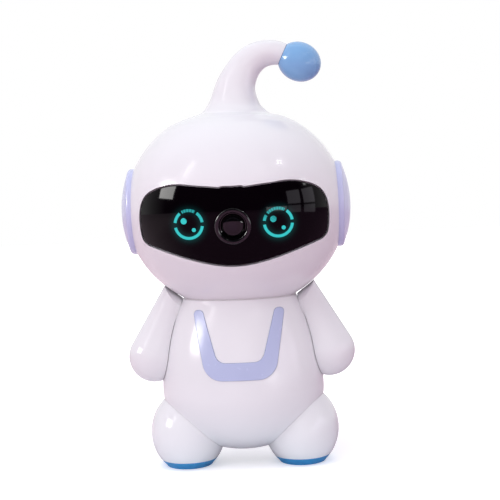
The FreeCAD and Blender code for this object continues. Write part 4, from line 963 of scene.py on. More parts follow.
class Drop:
    """An arm's skin: a cone that ends in the hand's ball and runs on above the shoulder."""

    def __init__(self, side=1, grow=0.0):
        self.small = SHOULDER_BALL_R + grow
        self.large = HAND_R + grow
        self.shoulder = Vector((side * (torso_radius(SHOULDER_Z) + SHOULDER_OUT), SHOULDER_Y, SHOULDER_Z + SHOULDER_LIFT))
        hand_z = SHOULDER_Z - HAND_DROP
        self.hand = Vector((side * (torso_radius(hand_z) + HAND_OUT), HAND_Y, hand_z))
        run = self.hand - self.shoulder
        self.length = run.length
        self.axis = run.normalized()
        self.tilt = math.asin((self.large - self.small) / self.length)

    def cone_radius(self, run):
        return self.small / math.cos(self.tilt) + run * math.tan(self.tilt)

    def meets_hand(self):
        return self.length - self.large * math.sin(self.tilt)

    def split(self, point):
        run = (point - self.shoulder).dot(self.axis)
        return run, point - self.shoulder - self.axis * run

    def off(self, point):
        run, out = self.split(point)
        if run > self.meets_hand():
            return (point - self.hand).length - self.large
        return out.length - self.cone_radius(run)

    def normal(self, point):
        run, out = self.split(point)
        if run > self.meets_hand():
            return (point - self.hand).normalized()
        return out.normalized() * math.cos(self.tilt) - self.axis * math.sin(self.tilt)

    def solid(self):
        hand = arc((0, self.length), self.large, math.pi / 2, -self.tilt, 40)
        start = -ARM_RUN_ON
        steps = [start + (self.meets_hand() - start) * i / 30 for i in range(30)]
        flank = [(self.cone_radius(run), run) for run in steps]
        profile = [(0.0, start)] + flank + hand[::-1]
        return turned(profile, 144, along(self.axis, self.shoulder))


def piece(name, bm, material, body, nodes, skins=()):
    """Hand a finished mesh over as a piece of the robot."""
    mesh = bpy.data.meshes.new(name)
    bm.to_mesh(mesh)
    bm.free()
    mesh.shade_smooth()
    mesh.set_sharp_from_angle(angle=SHARP)
    if skins:
        follow_skins(mesh, skins)
    mesh.transform(Matrix.Scale(METRES, 4))
    mesh.materials.append(material)
    item = bpy.data.objects.new(name, mesh)
    bpy.context.scene.collection.objects.link(item)
    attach(item, body)
    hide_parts(*nodes)
    return item


def follow_skins(mesh, skins):
    """Give the faces that lie on a true curved skin that skin's own normals."""
    normals = [Vector(corner.vector) for corner in mesh.corner_normals]
    for face in mesh.polygons:
        points = [mesh.vertices[i].co for i in face.vertices]
        for skin in skins:
            if all(abs(skin.off(point)) < SKIN_REACH for point in points):
                way = 1.0 if face.normal.dot(skin.normal(face.center)) > 0 else -1.0
                for corner, point in zip(face.loop_indices, points):
                    normals[corner] = way * skin.normal(point)
                break
    mesh.normals_split_custom_set(normals)


# ---------------------------------------------------------------- the robot's skins
def torso_radius(z, grow=0.0):
    if z >= BELLY_Z:
        return TORSO_R - BEND_R + math.sqrt((BEND_R + grow) ** 2 - (z - BELLY_Z) ** 2)
    return (TORSO_R + grow) * math.sqrt(max(0.0, 1 - ((BELLY_Z - z) / (BELLY_Z - TORSO_BOTTOM + grow)) ** 2))


def torso_y(x, z, depth):
    """Depth of the torso's front skin, moved inwards by depth."""
    return -math.sqrt(max(0.0, torso_radius(z, -depth) ** 2 - x * x))


def back_y(x, z, depth=0.0):
    return -torso_y(x, z, depth)


def ball_y(x, z, depth):
    """Depth of the head's front skin, moved inwards by depth."""
    a, c = HEAD_R - depth, HEAD_C - depth
    return -a * math.sqrt(max(0.0, 1 - (x / a) ** 2 - ((z - HEAD_Z) / c) ** 2))


def ball_layer(outer, inner):
    """Closed layer of the head's ball between two depths."""
    skin = arc((0, HEAD_Z), (HEAD_R - outer, HEAD_C - outer), -math.pi / 2, math.pi / 2, 96)
    lining = arc((0, HEAD_Z), (HEAD_R - inner, HEAD_C - inner), math.pi / 2, -math.pi / 2, 96)
    return joined([turned(skin, 192), flipped(turned(lining, 192))])


def flipped(bm):
    bmesh.ops.reverse_faces(bm, faces=bm.faces)
    return bm


def torso_profile(grow, top=None):
    """Half profile of the torso from its lowest point up to its rim."""
    top = TORSO_TOP if top is None else top
    bowl = arc((0, BELLY_Z), (TORSO_R + grow, BELLY_Z - TORSO_BOTTOM + grow), -math.pi / 2, 0, 40)
    flank = [BELLY_Z + (top - BELLY_Z) * i / 44 for i in range(1, 45)]
    return bowl + [(torso_radius(z, grow), z) for z in flank]


def torso_body(grow, steps=192):
    return turned(torso_profile(grow) + [(0, TORSO_TOP)], steps)


def ball_back(x, z, depth):
    return -ball_y(x, z, depth)


def circle(x, z, radius, steps=32):
    """Outline of a round hole, clockwise from the front."""
    return arc((x, z), radius, 2 * math.pi, 0, steps)[:-1]


def bar_outline(x, z, width, height):
    """Outline of a slot with round ends, clockwise from the front."""
    r = height / 2
    reach = width / 2 - r
    right = arc((x + reach, z), r, math.pi / 2, -math.pi / 2, 10)
    left = arc((x - reach, z), r, -math.pi / 2, -math.pi * 1.5, 10)
    return right + left


def hole(outline, skin, floor, edge):
    """Tool for a hole with a rounded mouth, from outside a rear skin in to a floor."""
    return plug(outline, [(edge, -1.0)] + lip(edge), skin, (FAR, floor))


def both_sides(places):
    return [(side * x, z) for x, z in places for side in (-1, 1)]


def screw_posts(shell, places, inner, skin, edge):
    """Give a rear shell its posts, with bores down to the screws' seats."""
    posts = joined([rod(SCREW_POST_R, (x, 0.2, z), (x, FAR, z)) for x, z in both_sides(places)])
    shell = carved(shell, [carved(posts, [inner], "INTERSECT")], "UNION")
    shanks = joined([rod(SCREW_SHANK_R, (x, -1, z), (x, SCREW_SEAT + 1, z), 24) for x, z in both_sides(places)])
    heads = joined([hole(circle(x, z, SCREW_HOLE_R), skin, SCREW_SEAT, edge) for x, z in both_sides(places)])
    return carved(carved(shell, [shanks]), [heads])


# ---------------------------------------------------------------- head
def head_rings(inset, stalk_inset, low):
    """Rings of the ball and its curled stalk, from a height up to the stalk's end."""
    a, c = HEAD_R - inset, HEAD_C - inset
    start = math.asin((low - HEAD_Z) / c)
    ball = arc((0, HEAD_Z), (a, c), start, math.acos(STALK_ROOT_R / HEAD_R), 64)
    rings = [(0.0, z, r, 0.0) for r, z in ball]
    crown = HEAD_Z + HEAD_C
    guides = [rings[-6]] + [rings[-1]]
    for i, (x, rise, radius, lean) in enumerate(STALK):
        thin = inset + (stalk_inset - inset) * min(1.0, i / 6)
        guides.append((x, crown + rise - inset * max(0.0, 1 - i / 3), radius - thin, math.radians(lean)))
    return rings + curve_through(guides, 6)[7:]


def head_wall():
    """Both shells of the head as one wall, with the floor that carries them."""
    low = HEAD_BASE
    skin = head_rings(0.0, 0.0, low + 0.5)
    foot_r = skin[0][2]
    edge = [(0.0, low, foot_r - 0.8, 0.0), (0.0, low + 0.12, foot_r - 0.35, 0.0)]
    lining = head_rings(SHELL_WALL, STALK_WALL, low + FLOOR_T)
    floor = [(0.0, low + FLOOR_T, FLOOR_HOLE_R, 0.0), (0.0, low, FLOOR_HOLE_R, 0.0)]
    wall = swept_rings(edge + skin + lining[::-1] + floor, 192)
    seats = []
    pockets = []
    for side in (-1, 1):
        axis = (side, 0, 0)
        seats.append(rod(EAR_R + 1.0, (side * (EAR_SEAT_X - 2.2), 0, HEAD_Z), (side * EAR_SEAT_X, 0, HEAD_Z), 160))
        mouth = [(0, EAR_SEAT_X)] + [(EAR_R + 0.1 + r, EAR_SEAT_X + h) for r, h in EAR_MOUTH] + [(0, HEAD_R + 20)]
        pockets.append(turned(mouth, 160, along(axis, (0, 0, HEAD_Z))))
    return carved(carved(wall, seats, "UNION"), pockets)


def visor_outline():
    half_points = [(0.0, VISOR_TOP)] + VISOR_OUTLINE + [(0.0, VISOR_BOTTOM)]
    guides = [(-x, z) for x, z in half_points[2:0:-1]] + half_points + [(-x, z) for x, z in half_points[-2:-4:-1]]
    right = curve_through(guides, 20)[40:-40]
    tab = [(x, z + TAB_H * min(1.0, max(0.0, (TAB_HALF_W - abs(x)) / 0.4 + 0.5)) * (z > 0)) for x, z in right]
    loop = tab + [(-x, z) for x, z in tab[-2:0:-1]]
    return [(x, HEAD_Z + z) for x, z in loop]


class ROBOT_OT_head_shells(bpy.types.Operator):
    """Mould the head's front and rear halves with its curled stalk"""

    bl_idname = "robot.head_shells"
    bl_label = "Head shells"

    def execute(self, context):
        sizes = context.scene.robot_sizes
        white = finish_of("white_shell")
        skin = Oval((0, 0, HEAD_Z), (HEAD_R, HEAD_R, HEAD_C))
        wall = head_wall()
        rear = halved(wall.copy(), 1, sizes)
        front = halved(wall, -1, sizes)
        edge = mm(sizes.visor_lip)
        window = plug(visor_outline(), [(edge, -1.0)] + lip(edge) + [(0.0, 6.0)], ball_y, (-FAR, -14.0))
        front = carved(front, [window])
        inner = turned(arc((0, HEAD_Z), (HEAD_R - 1.2, HEAD_C - 1.2), -math.pi / 2, math.pi / 2, 60), 128)
        rear = screw_posts(rear, HEAD_SCREWS, inner, ball_back, mm(sizes.hole_edge))
        piece("head_front", front, white, "head", ["head_front_shell"], [skin])
        piece("head_rear", rear, white, "head", ["head_rear_shell"], [skin])
        return {"FINISHED"}


def camera_place(inset):
    """Place of the camera's axis on the visor, +Z outwards."""
    z = HEAD_Z - CAMERA_DROP
    at = Vector((0, ball_y(0, z, inset), z))
    out = Oval((0, 0, HEAD_Z), (HEAD_R, HEAD_R, HEAD_C)).normal(at)
    return along(out, at)


class ROBOT_OT_visor(bpy.types.Operator):
    """Set the dark window, the camera's ring and its lens in the face"""

    bl_idname = "robot.visor"
    bl_label = "Visor and camera"

    def execute(self, context):
        sizes = context.scene.robot_sizes
        inset = mm(sizes.visor_inset)
        layer = ball_layer(inset, inset + VISOR_T)
        levels = lip(0.4, -0.1, inset, -1) + [(-0.1, 4.0)]
        window = plug(visor_outline(), [(-0.5, -1.0)] + levels, ball_y, (-FAR, -14.0))
        plate = carved(layer, [window], "INTERSECT")
        round_hole = turned([(0, -9), (BEZEL_R + 0.05, -9), (BEZEL_R + 0.05, 9), (0, 9)], 96, camera_place(inset))
        plate = carved(plate, [round_hole])
        skin = Oval((0, 0, HEAD_Z), (HEAD_R - inset, HEAD_R - inset, HEAD_C - inset))
        piece("visor_window", plate, finish_of("visor_black"), "head", ["visor"], [skin])

        half_w = (BEZEL_R - CAMERA_BORE_R) / 2
        crown = arc((BEZEL_R - half_w, -0.15), (half_w, 0.85), math.pi, 0, 24)
        ring = [(CAMERA_BORE_R, -3.2)] + crown + [(BEZEL_R, -3.2)]
        ring = turned(ring, 128, camera_place(inset))
        piece("camera_ring", ring, finish_of("bezel_black"), "head", ["camera_bezel"])
        r = CAMERA_BORE_R - 0.05
        lens = [(0, -2.9), (r, -2.9), (r, -1.6), (r - 0.35, -1.45), (r - 0.75, -1.6), (r - 0.95, -2.3)]
        lens += arc((0, -2.3), (r - 0.95, LENS_RISE), 0.0, math.pi / 2, 32)[1:]
        lens = turned(lens, 128, camera_place(inset))
        piece("lens_glass", lens, finish_of("lens_glass"), "head", ["camera_lens"])
        return {"FINISHED"}


def eye_arc(x, z, inner, outer, start, end):
    """Thin curved plate of one lit arc, flush with the visor."""
    bm = bmesh.new()
    width = outer - inner
    points = [(x + inner + width * t, 0.0, z) for t in (0.0, 0.06, 0.35, 0.65, 0.94, 1.0)]
    verts, edges = chained(bm, points, False)
    swing = math.radians(end - start)
    centre = (x, 0, z)
    bmesh.ops.rotate(bm, verts=verts, cent=centre, matrix=Matrix.Rotation(-math.radians(start), 3, "Y"))
    steps = max(2, round(abs(end - start) / 4))
    bmesh.ops.spin(bm, geom=verts + edges, cent=centre, axis=(0, -1, 0), angle=swing, steps=steps)
    return bm


def eye_dot(x, z, radius):
    bm = bmesh.new()
    bmesh.ops.create_circle(bm, cap_ends=True, cap_tris=True, segments=32, radius=radius)
    bmesh.ops.rotate(bm, verts=bm.verts, cent=(0, 0, 0), matrix=Matrix.Rotation(math.pi / 2, 3, "X"))
    bmesh.ops.translate(bm, verts=bm.verts, vec=(x, 0, z))
    return bm


class ROBOT_OT_eyes(bpy.types.Operator):
    """Lay the two lit eyes flush in the visor"""

    bl_idname = "robot.eyes"
    bl_label = "Eye lights"

    def execute(self, context):
        sizes = context.scene.robot_sizes
        for name, side in (("right", -1), ("left", 1)):
            x = side * EYE_X + EYE_SHIFT[side][0]
            z = HEAD_Z - EYE_DROP + EYE_SHIFT[side][1]
            inner = EYE_R - mm(sizes.eye_stroke)
            marks = [eye_arc(x, z, inner, EYE_R, a, b) for a, b in EYE_ARCS[side]]
            marks.append(eye_dot(x + PUPIL_PLACE[0], z + PUPIL_PLACE[1], mm(sizes.pupil)))
            marks.append(eye_dot(x + GLINT_PLACE[0], z + GLINT_PLACE[1], mm(sizes.glint)))
            eye = joined(marks)
            tidied(eye)
            for vert in eye.verts:
                vert.co.y = ball_y(vert.co.x, vert.co.z, mm(sizes.visor_inset) - EYE_PROUD)
            wrong = [face for face in eye.faces if face.normal.y > 0]
            bmesh.ops.reverse_faces(eye, faces=wrong)
            bmesh.ops.solidify(eye, geom=eye.faces[:], thickness=EYE_T)
            bmesh.ops.recalc_face_normals(eye, faces=eye.faces)
            nodes = [name + "_eye_guide"]
            piece(name + "_eye_light", eye, finish_of(name + "_eye"), "head", nodes)
        return {"FINISHED"}


class ROBOT_OT_ears(bpy.types.Operator):
    """Turn the two domed ear pads"""

    bl_idname = "robot.ears"
    bl_label = "Ear pads"

    def execute(self, context):
        sag = EAR_TOP_X - EAR_RIM_X
        dome_r = (EAR_R**2 + sag**2) / (2 * sag)
        dome = [(EAR_R * 0.91 * i / 30, 0.0) for i in range(31)]
        face = [(r, EAR_TOP_X - dome_r + math.sqrt(dome_r**2 - r * r)) for r, h in dome]
        last_r, last_h = face[-1]
        rim = [(last_r + (EAR_R - last_r) * math.sin(t), last_h - 2.1 + 2.1 * math.cos(t)) for t in QUARTER[1:]]
        profile = face + rim + [(EAR_R, EAR_SEAT_X + 0.4), (EAR_R - 0.4, EAR_SEAT_X), (0, EAR_SEAT_X)]
        for name, side in (("left", 1), ("right", -1)):
            pad = turned(profile, 160, along((side, 0, 0), (0, 0, HEAD_Z)))
            piece(name + "_ear", pad, finish_of("ear_blue"), "head", [name + "_ear_pad"])
        return {"FINISHED"}


class ROBOT_OT_antenna_tip(bpy.types.Operator):
    """Turn the ball at the end of the antenna"""

    bl_idname = "robot.antenna_tip"
    bl_label = "Antenna tip"

    def execute(self, context):
        x, rise, radius, lean = STALK[-1]
        start = math.asin(-BALL_NECK / BALL_HALF)
        ball = arc((0, BALL_NECK), (BALL_R, BALL_HALF), start, math.pi / 2, 60)
        foot_r = ball[0][0]
        profile = [(0, -2.4), (3.4, -2.4), (3.5, 0.05), (foot_r - 0.3, 0.05)] + ball[1:]
        turn = Matrix.Rotation(math.radians(lean), 4, "Y")
        place = Matrix.Translation((x, 0, HEAD_Z + HEAD_C + rise)) @ turn
        piece("antenna_tip", turned(profile, 128, place), finish_of("tip_blue"), "head", ["antenna_ball"])
        return {"FINISHED"}


# ---------------------------------------------------------------- torso
def trim_outline():
    corners = [
        (TRIM_OUT_TOP, TRIM_TOP, 2.2),
        (TRIM_OUT_BOTTOM, TRIM_BOTTOM, 10.0),
        (-TRIM_OUT_BOTTOM, TRIM_BOTTOM, 10.0),
        (-TRIM_OUT_TOP, TRIM_TOP, 2.2),
        (-TRIM_IN_TOP, TRIM_TOP, 2.2),
        (-TRIM_IN_BOTTOM, TRIM_BAR_TOP, 5.5),
        (TRIM_IN_BOTTOM, TRIM_BAR_TOP, 5.5),
        (TRIM_IN_TOP, TRIM_TOP, 2.2),
    ]
    return rounded(corners)


def torso_wall():
    """Both torso shells as one wall, with the deck and the shoulder recesses."""
    rim_z = TORSO_TOP
    skin = torso_profile(0.0, rim_z - 0.9)
    rim_r = skin[-1][0]
    edge = [(rim_r - 0.18, rim_z - 0.45), (rim_r - 0.45, rim_z - 0.15), (rim_r - 0.95, rim_z)]
    deck = [(NECK_BORE_R, rim_z), (NECK_BORE_R, rim_z - DECK_T)]
    lining = torso_profile(-TORSO_WALL, rim_z - DECK_T)[::-1]
    wall = turned(skin + edge + deck + lining, 192)
    bosses = []
    recesses = []
    for side in (-1, 1):
        start = Vector((side * HUB_BOSS_X, 0, SHOULDER_Z))
        boss = rod(HUB_BOSS_R, start, (side * (HUB_BOSS_X + HUB_BOSS_T + 0.6), 0, SHOULDER_Z), 96)
        boss = carved(boss, [torso_body(-BOSS_COVER, 128)], "INTERSECT")
        bosses.append(cleared(boss, (0, 0, TORSO_TOP - BOSS_COVER * 4), (0, 0, 1)))
        hub = [(0, HUB_BOSS_X - 3), (SHAFT_BORE_R, HUB_BOSS_X - 3), (SHAFT_BORE_R, HUB_X)]
        hub += [(HUB_DISC[0][0] + HUB_ROOM, HUB_X), (HUB_DISC[1][0] + HUB_ROOM, HUB_DISC[1][1] - HUB_ROOM)]
        hub += [(HUB_DISC[1][0] + HUB_ROOM, HUB_ROOM_END), (HUB_R, HUB_ROOM_END)]
        hub += [(HUB_R, TORSO_R + 20), (0, TORSO_R + 20)]
        recesses.append(turned(hub, 96, along((side, 0, 0), (0, 0, SHOULDER_Z))))
    return carved(carved(wall, bosses, "UNION"), recesses)


def rear_openings(sizes):
    """Sound holes, button holes, the charging port's and the power knob's slots."""
    floor = BUTTON_Z - 14.0
    edge = mm(sizes.hole_edge)
    places = [(0.0, GRILLE_Z)]
    for ring in range(1, GRILLE_RINGS + 1):
        places += arc((0.0, GRILLE_Z), ring * GRILLE_PITCH, 0, 2 * math.pi, 6 * ring)[:-1]
    holes = [hole(circle(x, z, mm(sizes.grille_hole), 16), back_y, floor, 0.2) for x, z in places]
    holes += [hole(circle(x, BUTTON_Z, BUTTON_HOLE_R, 48), back_y, floor, edge) for x in BUTTONS.values()]
    return holes + [hole(bar_outline(*slot), back_y, floor, edge) for slot in (PORT, KNOB_SLOT)]


class ROBOT_OT_torso_shells(bpy.types.Operator):
    """Mould the body's front and rear halves with their openings"""

    bl_idname = "robot.torso_shells"
    bl_label = "Body shells"

    def execute(self, context):
        sizes = context.scene.robot_sizes
        white = finish_of("white_shell")
        wall = torso_wall()
        rear = halved(wall.copy(), 1, sizes)
        front = halved(wall, -1, sizes)
        edge = mm(sizes.groove_edge)
        levels = [(edge + BAND_ROOM, -1.0)] + lip(edge, BAND_ROOM) + [(BAND_ROOM, 4.0)]
        groove = plug(trim_outline(), levels, torso_y, (-FAR, -16.0))
        groove = carved(groove, [torso_body(-TRIM_SINK)])
        front = carved(front, [groove])
        rear = screw_posts(rear, TORSO_SCREWS, torso_body(-TORSO_WALL / 2, 128), back_y, mm(sizes.hole_edge))
        rear = carved(rear, [joined(rear_openings(sizes))])
        piece("torso_front", front, white, "torso", ["torso_front_shell"], [Egg(), Egg(-TRIM_SINK)])
        piece("torso_rear", rear, white, "torso", ["torso_rear_shell"], [Egg()])
        return {"FINISHED"}


class ROBOT_OT_belly_band(bpy.types.Operator):
    """Set the blue band in its groove"""

    bl_idname = "robot.belly_band"
    bl_label = "Belly band"

    def execute(self, context):
        sizes = context.scene.robot_sizes
        proud, edge = mm(sizes.band_proud), mm(sizes.band_edge)
        layer = joined([torso_body(proud), flipped(torso_body(0.1 - TRIM_SINK))])
        levels = [(-edge, -2.0)] + lip(edge, 0.0, -proud, -1) + [(0.0, 4.0)]
        bar = plug(trim_outline(), levels, torso_y, (-FAR, -16.0))
        trim = carved(layer, [bar], "INTERSECT")
        piece("belly_band", trim, finish_of("trim_blue"), "torso", ["belly_trim"], [Egg(proud)])
        return {"FINISHED"}


class ROBOT_OT_neck_washer(bpy.types.Operator):
    """Turn the pale washer that fills the joint under the head"""

    bl_idname = "robot.neck_washer"
    bl_label = "Neck washer"

    def execute(self, context):
        low, high = measured("thrust_washer")
        inner = 20.0
        profile = [(inner, low.z), (WASHER_OUT - 0.1, low.z), (WASHER_OUT, low.z + 0.1)]
        profile += [(WASHER_OUT, high.z - 0.1), (WASHER_OUT - 0.1, high.z), (inner, high.z)]
        piece("neck_washer", turned(profile, 160), finish_of("inner_white"), "torso", ["thrust_washer"])
        return {"FINISHED"}


# ---------------------------------------------------------------- arms and feet
def arm_tools():
    """What the left arm leaves free as it swings: the body, the room above its axis and the head."""
    tools = [torso_body(ARM_GAP)]
    pivot = Vector((0, 0, SHOULDER_Z))
    for turn in ARM_SWEEP[1:]:
        body = torso_body(ARM_GAP, 128)
        bmesh.ops.rotate(body, verts=body.verts, cent=pivot, matrix=Matrix.Rotation(math.radians(turn), 3, "X"))
        tools.append(body)
    width = [20.0 + i for i in range(40)]
    under = [(head_room(x), x) for x in width]
    around = turned(under + [(FAR / 2, width[-1]), (FAR / 2, width[0])], 160, along((1, 0, 0), pivot))
    tools.append(cleared(around, pivot, (0, 0, -1)))
    return tools


def head_room(x):
    """Room above the arm's axis, under the head's ball, at a distance from the robot's middle."""
    ball = HEAD_Z - HEAD_C * math.sqrt(1 - (x / HEAD_R) ** 2)
    return ball - ARM_HEAD_GAP - SHOULDER_Z


def cleared(bm, point, away):
    """The part of a closed mesh on the near side of a plane, closed again."""
    geom = bm.verts[:] + bm.edges[:] + bm.faces[:]
    bmesh.ops.bisect_plane(bm, geom=geom, dist=1e-5, plane_co=point, plane_no=away, clear_outer=True)
    bmesh.ops.holes_fill(bm, edges=[edge for edge in bm.edges if edge.is_boundary], sides=0)
    bmesh.ops.recalc_face_normals(bm, faces=bm.faces)
    return bm


def mirrored(bm):
    bmesh.ops.scale(bm, verts=bm.verts, vec=(-1, 1, 1))
    bmesh.ops.reverse_faces(bm, faces=bm.faces)
    return bm


class ROBOT_OT_arms(bpy.types.Operator):
    """Mould the two arms, cleared for their swing"""

    bl_idname = "robot.arms"
    bl_label = "Arms"

    def execute(self, context):
        drop = Drop()
        arm = drop.solid()
        for tool in arm_tools():
            arm = carved(arm, [tool])
        disc = turned([(0, HUB_DISC[0][1])] + HUB_DISC + [(0, HUB_DISC[-1][1])], 128, along((1, 0, 0), (0, 0, SHOULDER_Z)))
        arm = carved(arm, [disc], "UNION")
        bore = rod(2.55, (0, 0, SHOULDER_Z), (torso_radius(SHOULDER_Z) + SHOULDER_OUT + 5.1, 0, SHOULDER_Z), 32)
        arm = carved(arm, [bore])
        outer, inner = Drop(1, -COVER_EDGE).solid(), Drop(1, -COVER_EDGE - COVER_SEAM).solid()
        seam = carved(joined([outer, flipped(inner)]), [torso_body(ARM_GAP + COVER_SEAM_DEPTH)], "INTERSECT")
        arm = carved(arm, [seam])
        white = finish_of("white_shell")
        for name, side in (("left", 1), ("right", -1)):
            nodes = [name + "_arm_shell", name + "_arm_cover"]
            mesh = arm.copy() if side > 0 else mirrored(arm)
            piece(name + "_arm_body", mesh, white, name + "_arm", nodes, [Drop(side)])
        return {"FINISHED"}


def share(z):
    """How much of its full width a foot's oval has at a height."""
    return math.sqrt(1 - ((z - FOOT_Z) / FOOT_AXES[2]) ** 2)


class ROBOT_OT_soles(bpy.types.Operator):
    """Turn the two rubber soles with their tread grooves"""

    bl_idname = "robot.soles"
    bl_label = "Soles"

    def execute(self, context):
        sizes = context.scene.robot_sizes
        edge = mm(sizes.sole_round)
        low = share(edge)
        turn = [math.pi / 2 * i / 6 for i in range(7)]
        step = edge / FOOT_AXES[0]
        rim = [(low - step * (1 - math.sin(t)), edge * (1 - math.cos(t))) for t in turn]
        wall = [(share(z), z) for z in (1.5, 2.2, 2.9, 3.5, SOLE_T - 0.1)]
        profile = [(0, 0)] + [(low * r, h) for r, h in TREAD] + rim + wall + [(share(SOLE_T) - 0.01, SOLE_T), (0, SOLE_T)]
        for name in ("left", "right"):
            low_corner, high_corner = measured(name + "_sole")
            middle = (low_corner + high_corner) / 2
            place = Matrix.Translation((middle.x, middle.y, 0)) @ Matrix.Diagonal((FOOT_AXES[0], FOOT_AXES[1], 1, 1))
            sole = turned(profile, 144, place)
            piece(name + "_foot_sole", sole, finish_of("sole_blue"), "torso", [name + "_sole"])
        return {"FINISHED"}


# ---------------------------------------------------------------- controls on the back
class ROBOT_OT_buttons(bpy.types.Operator):
    """Turn the three button caps on the back"""

    bl_idname = "robot.buttons"
    bl_label = "Buttons"

    def execute(self, context):
        for name, x in BUTTONS.items():
            node = BUTTON_NODES[name]
            low, high = measured(node)
            foot, top, flange = low.y, high.y, (high.x - low.x) / 2
            cap = [(0.0, top), (BUTTON_R - 1.6, top - 0.04)]
            cap += arc((BUTTON_R - 0.6, top - 0.75), (0.6, 0.65), math.pi / 2, 0, 8)
            profile = cap + [(BUTTON_R, foot + 1.0), (flange, foot + 1.0), (flange, foot), (0.0, foot)]
            button = turned(profile, 96, along((0, 1, 0), (x, 0, BUTTON_Z)))
            piece("button_" + name, button, finish_of("button_blue"), node, [node])
        return {"FINISHED"}


class ROBOT_OT_power_knob(bpy.types.Operator):
    """Shape the ribbed knob of the power slide"""

    bl_idname = "robot.power_knob"
    bl_label = "Power knob"

    def execute(self, context):
        low, high = measured("power_switch_knob")
        middle = (low + high) / 2
        plate = slab((low.x, high.x), (low.y, low.y + 0.8), (low.z, high.z), 0.2)
        width, height = KNOB_SIZE
        across = (middle.x - width / 2, middle.x + width / 2)
        rows = (middle.z - height / 2, middle.z + height / 2)
        stem = slab(across, (low.y + 0.4, high.y - 0.25), rows, 0.3)
        ribs = [slab((x - 0.25, x + 0.25), (high.y - 0.8, high.y), rows, 0.12) for x in (middle.x - 0.9, middle.x, middle.x + 0.9)]
        knob = carved(carved(stem, [plate], "UNION"), ribs, "UNION")
        piece("power_knob", knob, finish_of("trim_blue"), "power_switch", ["power_switch_knob"])
        return {"FINISHED"}


def slab(across, depth, rows, edge):
    """Block between two limits each way, with rounded edges."""
    bm = bmesh.new()
    bmesh.ops.create_cube(bm, size=1.0)
    low, high = Vector((across[0], depth[0], rows[0])), Vector((across[1], depth[1], rows[1]))
    bmesh.ops.scale(bm, verts=bm.verts, vec=high - low)
    bmesh.ops.translate(bm, verts=bm.verts, vec=(low + high) / 2)
    bmesh.ops.bevel(bm, geom=bm.edges[:], offset=edge, segments=3, profile=0.5, affect="EDGES", material=-1)
    return bm


# ---------------------------------------------------------------- operators
class ROBOT_OT_stage(bpy.types.Operator):
    """Set up the camera, the floor, the lamps and the surroundings"""

    bl_idname = "robot.stage"
    bl_label = "Stage"

    def execute(self, context):
        settings = context.scene.robot_stage
        make_camera(context.scene, settings)
        make_floor()
        make_world(context.scene, settings)
        for lamp in LAMPS:
            make_lamp(*lamp)
        return {"FINISHED"}


def make_camera(scene, settings):
    data = bpy.data.cameras.new("camera")
    data.lens = LENS_MM
    data.sensor_width = SENSOR_MM
    camera = bpy.data.objects.new("camera", data)
    scene.collection.objects.link(camera)
    turn = settings.camera_turn
    place = Vector((math.sin(turn), -math.cos(turn), 0.0)) * settings.camera_distance
    place.z = settings.camera_height
    look = (Vector(settings.aim) - place).to_track_quat("-Z", "Y").to_matrix().to_4x4()
    camera.matrix_world = Matrix.Translation(place) @ look @ Matrix.Rotation(settings.camera_roll, 4, "Z")
    scene.camera = camera


def make_floor():
    mesh = bpy.data.meshes.new("floor")
    bm = bmesh.new()
    bmesh.ops.create_grid(bm, x_segments=1, y_segments=1, size=FLOOR_SIZE / 2)
    bm.to_mesh(mesh)
    bm.free()
    floor = bpy.data.objects.new("floor", mesh)
    bpy.context.scene.collection.objects.link(floor)
    finish = Finish("floor_paper", roughness=0.9, specular_ior_level=0.1)
    x, y, z = finish.axes()
    distance = finish.maths("SQRT", x * x + y * y)
    away = finish.clamped((distance - 0.10) / 0.25)
    far = finish.clamped((distance - 0.06) / 0.11)
    camera, glossy, through = finish.rays()
    grain = finish.mixed(finish.noise(0.01), (0.80, 0.79, 0.81), (0.83, 0.82, 0.84))
    bounce = finish.mixed(far, (0.92, 0.98, 1.0), FLOOR_BOUNCE)
    behind = finish.clamped((y - x * 0.8 + 0.02) / 0.35)
    lit = finish.mixed(finish.clamped(camera + through), bounce, grain)
    finish.set("Base Color", finish.mixed(finish.clamped(glossy * (1.0 - behind)), lit, FLOOR_IN_GLOSS))
    seen = finish.clamped(camera + through) * (0.42 + 0.58 * away) + glossy * behind * (0.9 - 0.55 * away)
    finish.set("Emission Color", finish.mixed(seen, (0.0, 0.0, 0.0), (1.0, 1.0, 1.0)))
    finish.shader.inputs["Emission Strength"].default_value = 1.0
    mesh.materials.append(finish.material)


def make_world(scene, settings):
    """White backdrop behind a dim room; to matt surfaces, cool from above and warm pink from below."""
    world = bpy.data.worlds.new("surroundings")
    world.use_nodes = True
    sky = Nodes(world.node_tree)
    x, y, z = sky.axes("Generated")
    sides = sky.clamped((z + 0.6) / 1.2)
    shade = sky.mixed(sides, settings.shade_tint, settings.sky_tint)
    behind = sky.clamped((y + 0.25) / 0.5)
    room = sky.mixed(behind, settings.room_tint, (1.0, 1.0, 1.0))
    camera, glossy, through = sky.rays()
    light = sky.mixed(sky.clamped(glossy + through), shade, room)
    sky.feed(world.node_tree.nodes["Background"].inputs["Color"], sky.mixed(camera, light, (1.0, 1.0, 1.0)))
    scene.world = world


